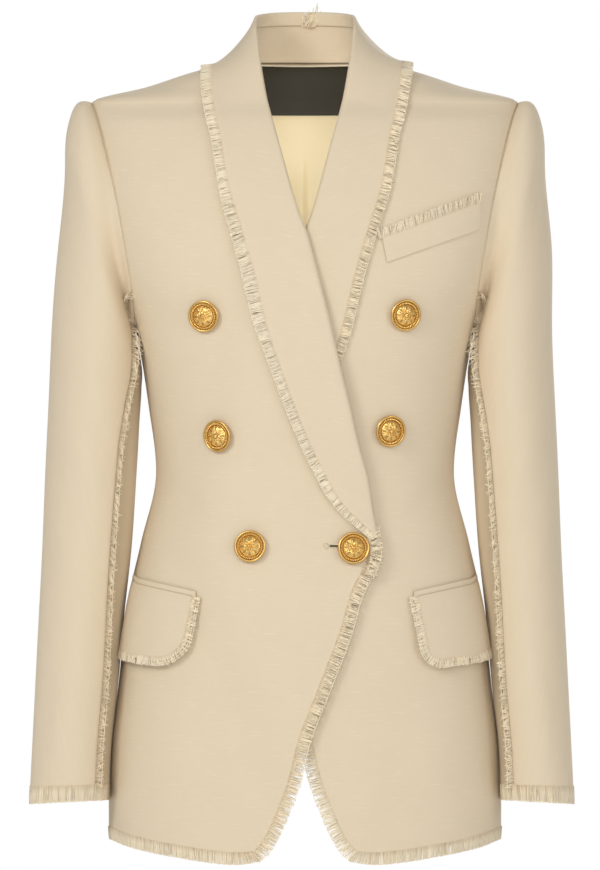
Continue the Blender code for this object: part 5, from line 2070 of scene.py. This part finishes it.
@dataclass
class Buttonhole:
    """Keyhole buttonhole beside the fastened button, with its stitched edge."""

    cut: Cut
    tree: FrayTree
    eye_x: float = 18.5
    end_x: float = 32.0
    z: float = -436.0
    eye_radius: float = 1.5
    slit_half: float = 0.45
    stitch: Fray = Fray(spacing=0.00042, radius=0.0002, slant=0.0, spread=0.05, curl=0.0002,
                        shortest=0.95, longest=1.05, lift=0.00035, rims=(0.1, 0.95),
                        rim_wander=0.0001, seed=97)

    def outline(self, grown: float) -> Array:
        """Places across and up of the hole's outline, grown by a distance."""
        radius, half = self.eye_radius + grown, self.slit_half + grown
        start = np.arcsin(min(1.0, half / radius))
        turn = np.linspace(start, 2 * np.pi - start, 40)
        eye = np.stack([self.eye_x + radius * np.cos(turn), self.z + radius * np.sin(turn)], -1)
        sides = []
        for x, up in ((eye[0, 0], half), (eye[-1, 0], -half)):
            run = np.linspace(self.end_x, x, 24)[:-1]
            sides.append(np.stack([run, np.full(len(run), self.z + up)], -1))
        return np.concatenate([sides[0], eye, sides[1][::-1]])

    def on_front(self, places: Array, out: float) -> Array:
        """Points on the lapping front."""
        return self.cut.face(places[:, 0], places[:, 1], out, Side.RIGHT)

    def build(self, room: Workroom, front: Piece) -> None:
        """Make the slit, a near-black solid of painted shade, and the stitches round it.

        Args:
            room: where pieces are finished.
            front: the front that the hole is in.
        """
        inner, outer = self.outline(0.0), self.outline(1.5)
        edge, tips = self.on_front(inner, 0.25), self.on_front(outer, 0.1)
        away = outward(lambda out: self.on_front(inner, out))
        stitches = self.tree.grow("buttonhole_stitches", edge, tips, away, self.stitch, room.yarn)
        room.hand_over(stitches, None)
        room.goes_with(front, stitches)
        # painted shade: a thin near-black solid stands for the unlit inside of the slit
        start, end, half = self.eye_x + 3.4, self.end_x, self.slit_half + 0.25
        shape = ((end, half), (start, half), (start - 0.5, 0), (start, -half), (end, -half))
        places = np.add(shape, (0, self.z))
        rim, low = self.on_front(places, 0.75), self.on_front(places, -0.1)
        count = len(rim)
        walls = [(i, i + count, (i + 1) % count + count, (i + 1) % count) for i in range(count)]
        caps = [tuple(range(count)), tuple(range(2 * count - 1, count - 1, -1))]
        slit = new_piece("buttonhole_slit_shade", np.concatenate([rim, low]), walls + caps, room.dark)
        room.hand_over(slit, None)
        room.goes_with(front, slit)


# ---- light and camera
@dataclass
class Studio:
    """Plain pale floor, soft light and a level camera in front of the blazer."""

    aim: tuple[float, float, float] = (-0.0045, -0.05, -0.336)
    distance: float = 23.0
    frame_height: float = 0.783
    floor_z: float = -0.92
    floor_radius: float = 3.0
    world_light: float = 0.42
    # name, place, aim, width, height and power of each lamp; the last one stands in the neck,
    # where it lights the lining, and can't itself be seen
    lamps: tuple = (
        ("key", (-2.2, -2.9, 1.1), (0, -0.05, -0.34), 1.1, 1.1, 42.0),
        ("front", (0.2, -3.6, 0.5), (0, -0.05, -0.34), 1.6, 1.6, 26.0),
        ("fill", (2.4, -2.4, 0.2), (0, -0.05, -0.34), 1.4, 1.4, 14.0),
        ("back", (0.8, 3.4, 0.9), (0, 0.05, -0.34), 1.6, 1.6, 60.0),
        ("neck", (0, -0.03, -0.1), (0, 0.08, -0.13), 0.04, 0.12, 0.11),
    )

    def build(self) -> None:
        """Set the camera, the lights, the world and the floor."""
        scene = bpy.context.scene
        lens = bpy.data.cameras.new("camera")
        lens.sensor_fit = "VERTICAL"
        lens.sensor_height = 36.0
        lens.lens = 36.0 * self.distance / self.frame_height
        lens.clip_end = 100.0
        camera = bpy.data.objects.new("camera", lens)
        camera.location = (self.aim[0], self.aim[1] - self.distance, self.aim[2])
        camera.rotation_euler = (np.pi / 2, 0, 0)
        scene.collection.objects.link(camera)
        scene.camera = camera
        scene.view_settings.view_transform = "Standard"
        for lamp in self.lamps:
            self.lamp(*lamp)
        self.world(scene)
        self.floor()

    def lamp(self, name: str, place: tuple, aim: tuple, width: float, height: float,
             power: float) -> None:
        """One soft light turned to its aim."""
        light = bpy.data.lights.new(name, "AREA")
        light.shape = "RECTANGLE"
        light.size, light.size_y = width, height
        light.energy = power
        lamp = bpy.data.objects.new(name, light)
        lamp.location = place
        lamp.visible_camera = False
        gaze = np.subtract(place, aim)
        flat = np.hypot(gaze[0], gaze[1])
        lamp.rotation_euler = (np.arctan2(flat, gaze[2]), 0, np.arctan2(gaze[0], -gaze[1]))
        bpy.context.scene.collection.objects.link(lamp)

    def world(self, scene: bpy.types.Scene) -> None:
        """White surroundings that light the blazer softly."""
        world = bpy.data.worlds.new("white room")
        world.use_nodes = True
        w = Wiring(world.node_tree)
        background = world.node_tree.nodes["Background"]
        seen = w.add("ShaderNodeLightPath").outputs["Is Camera Ray"]
        strength = w.math("MULTIPLY_ADD", seen, 1.0 - self.world_light, self.world_light)
        background.inputs["Color"].default_value = (1, 1, 1, 1)
        world.node_tree.links.new(strength, background.inputs["Strength"])
        scene.world = world

    def floor(self) -> None:
        """Round pale floor below the blazer."""
        turn = np.linspace(0, 2 * np.pi, 96, endpoint=False)
        rim = np.stack([np.cos(turn), np.sin(turn), np.zeros(96)], -1) * self.floor_radius
        rim[:, 2] = self.floor_z
        floor = new_piece("floor", rim / MM, [tuple(range(96))], FloorFinish().material())


def main() -> None:
    """Build the blazer around the frame."""
    logging.basicConfig(level=logging.INFO, format="%(message)s")
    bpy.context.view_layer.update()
    Studio().build()
    room = Workroom()
    cut = Cut(BodyForm())
    tree = FrayTree()
    backs = Backs(cut)
    frays = FrayedEdges(cut, tree, backs)
    fronts = Fronts(cut).build(room)
    back_pieces = backs.build(room)
    collars = ShawlCollar(cut).build(room)
    sleeves = Sleeves(cut)
    sleeve_pieces = sleeves.build(room)
    frays.collars(room, collars)
    frays.front_edges(room, fronts)
    frays.hems(room, fronts, back_pieces)
    frays.sleeves(room, sleeves, sleeve_pieces)
    frays.pockets(room, Pockets(cut).build(room))
    frays.neck_tuft(room, collars[Side.LEFT][0])
    Buttons(cut).build(room)
    Buttonhole(cut, tree).build(room, fronts[Side.RIGHT])
    room.declare()


if __name__ == "__main__":
    main()
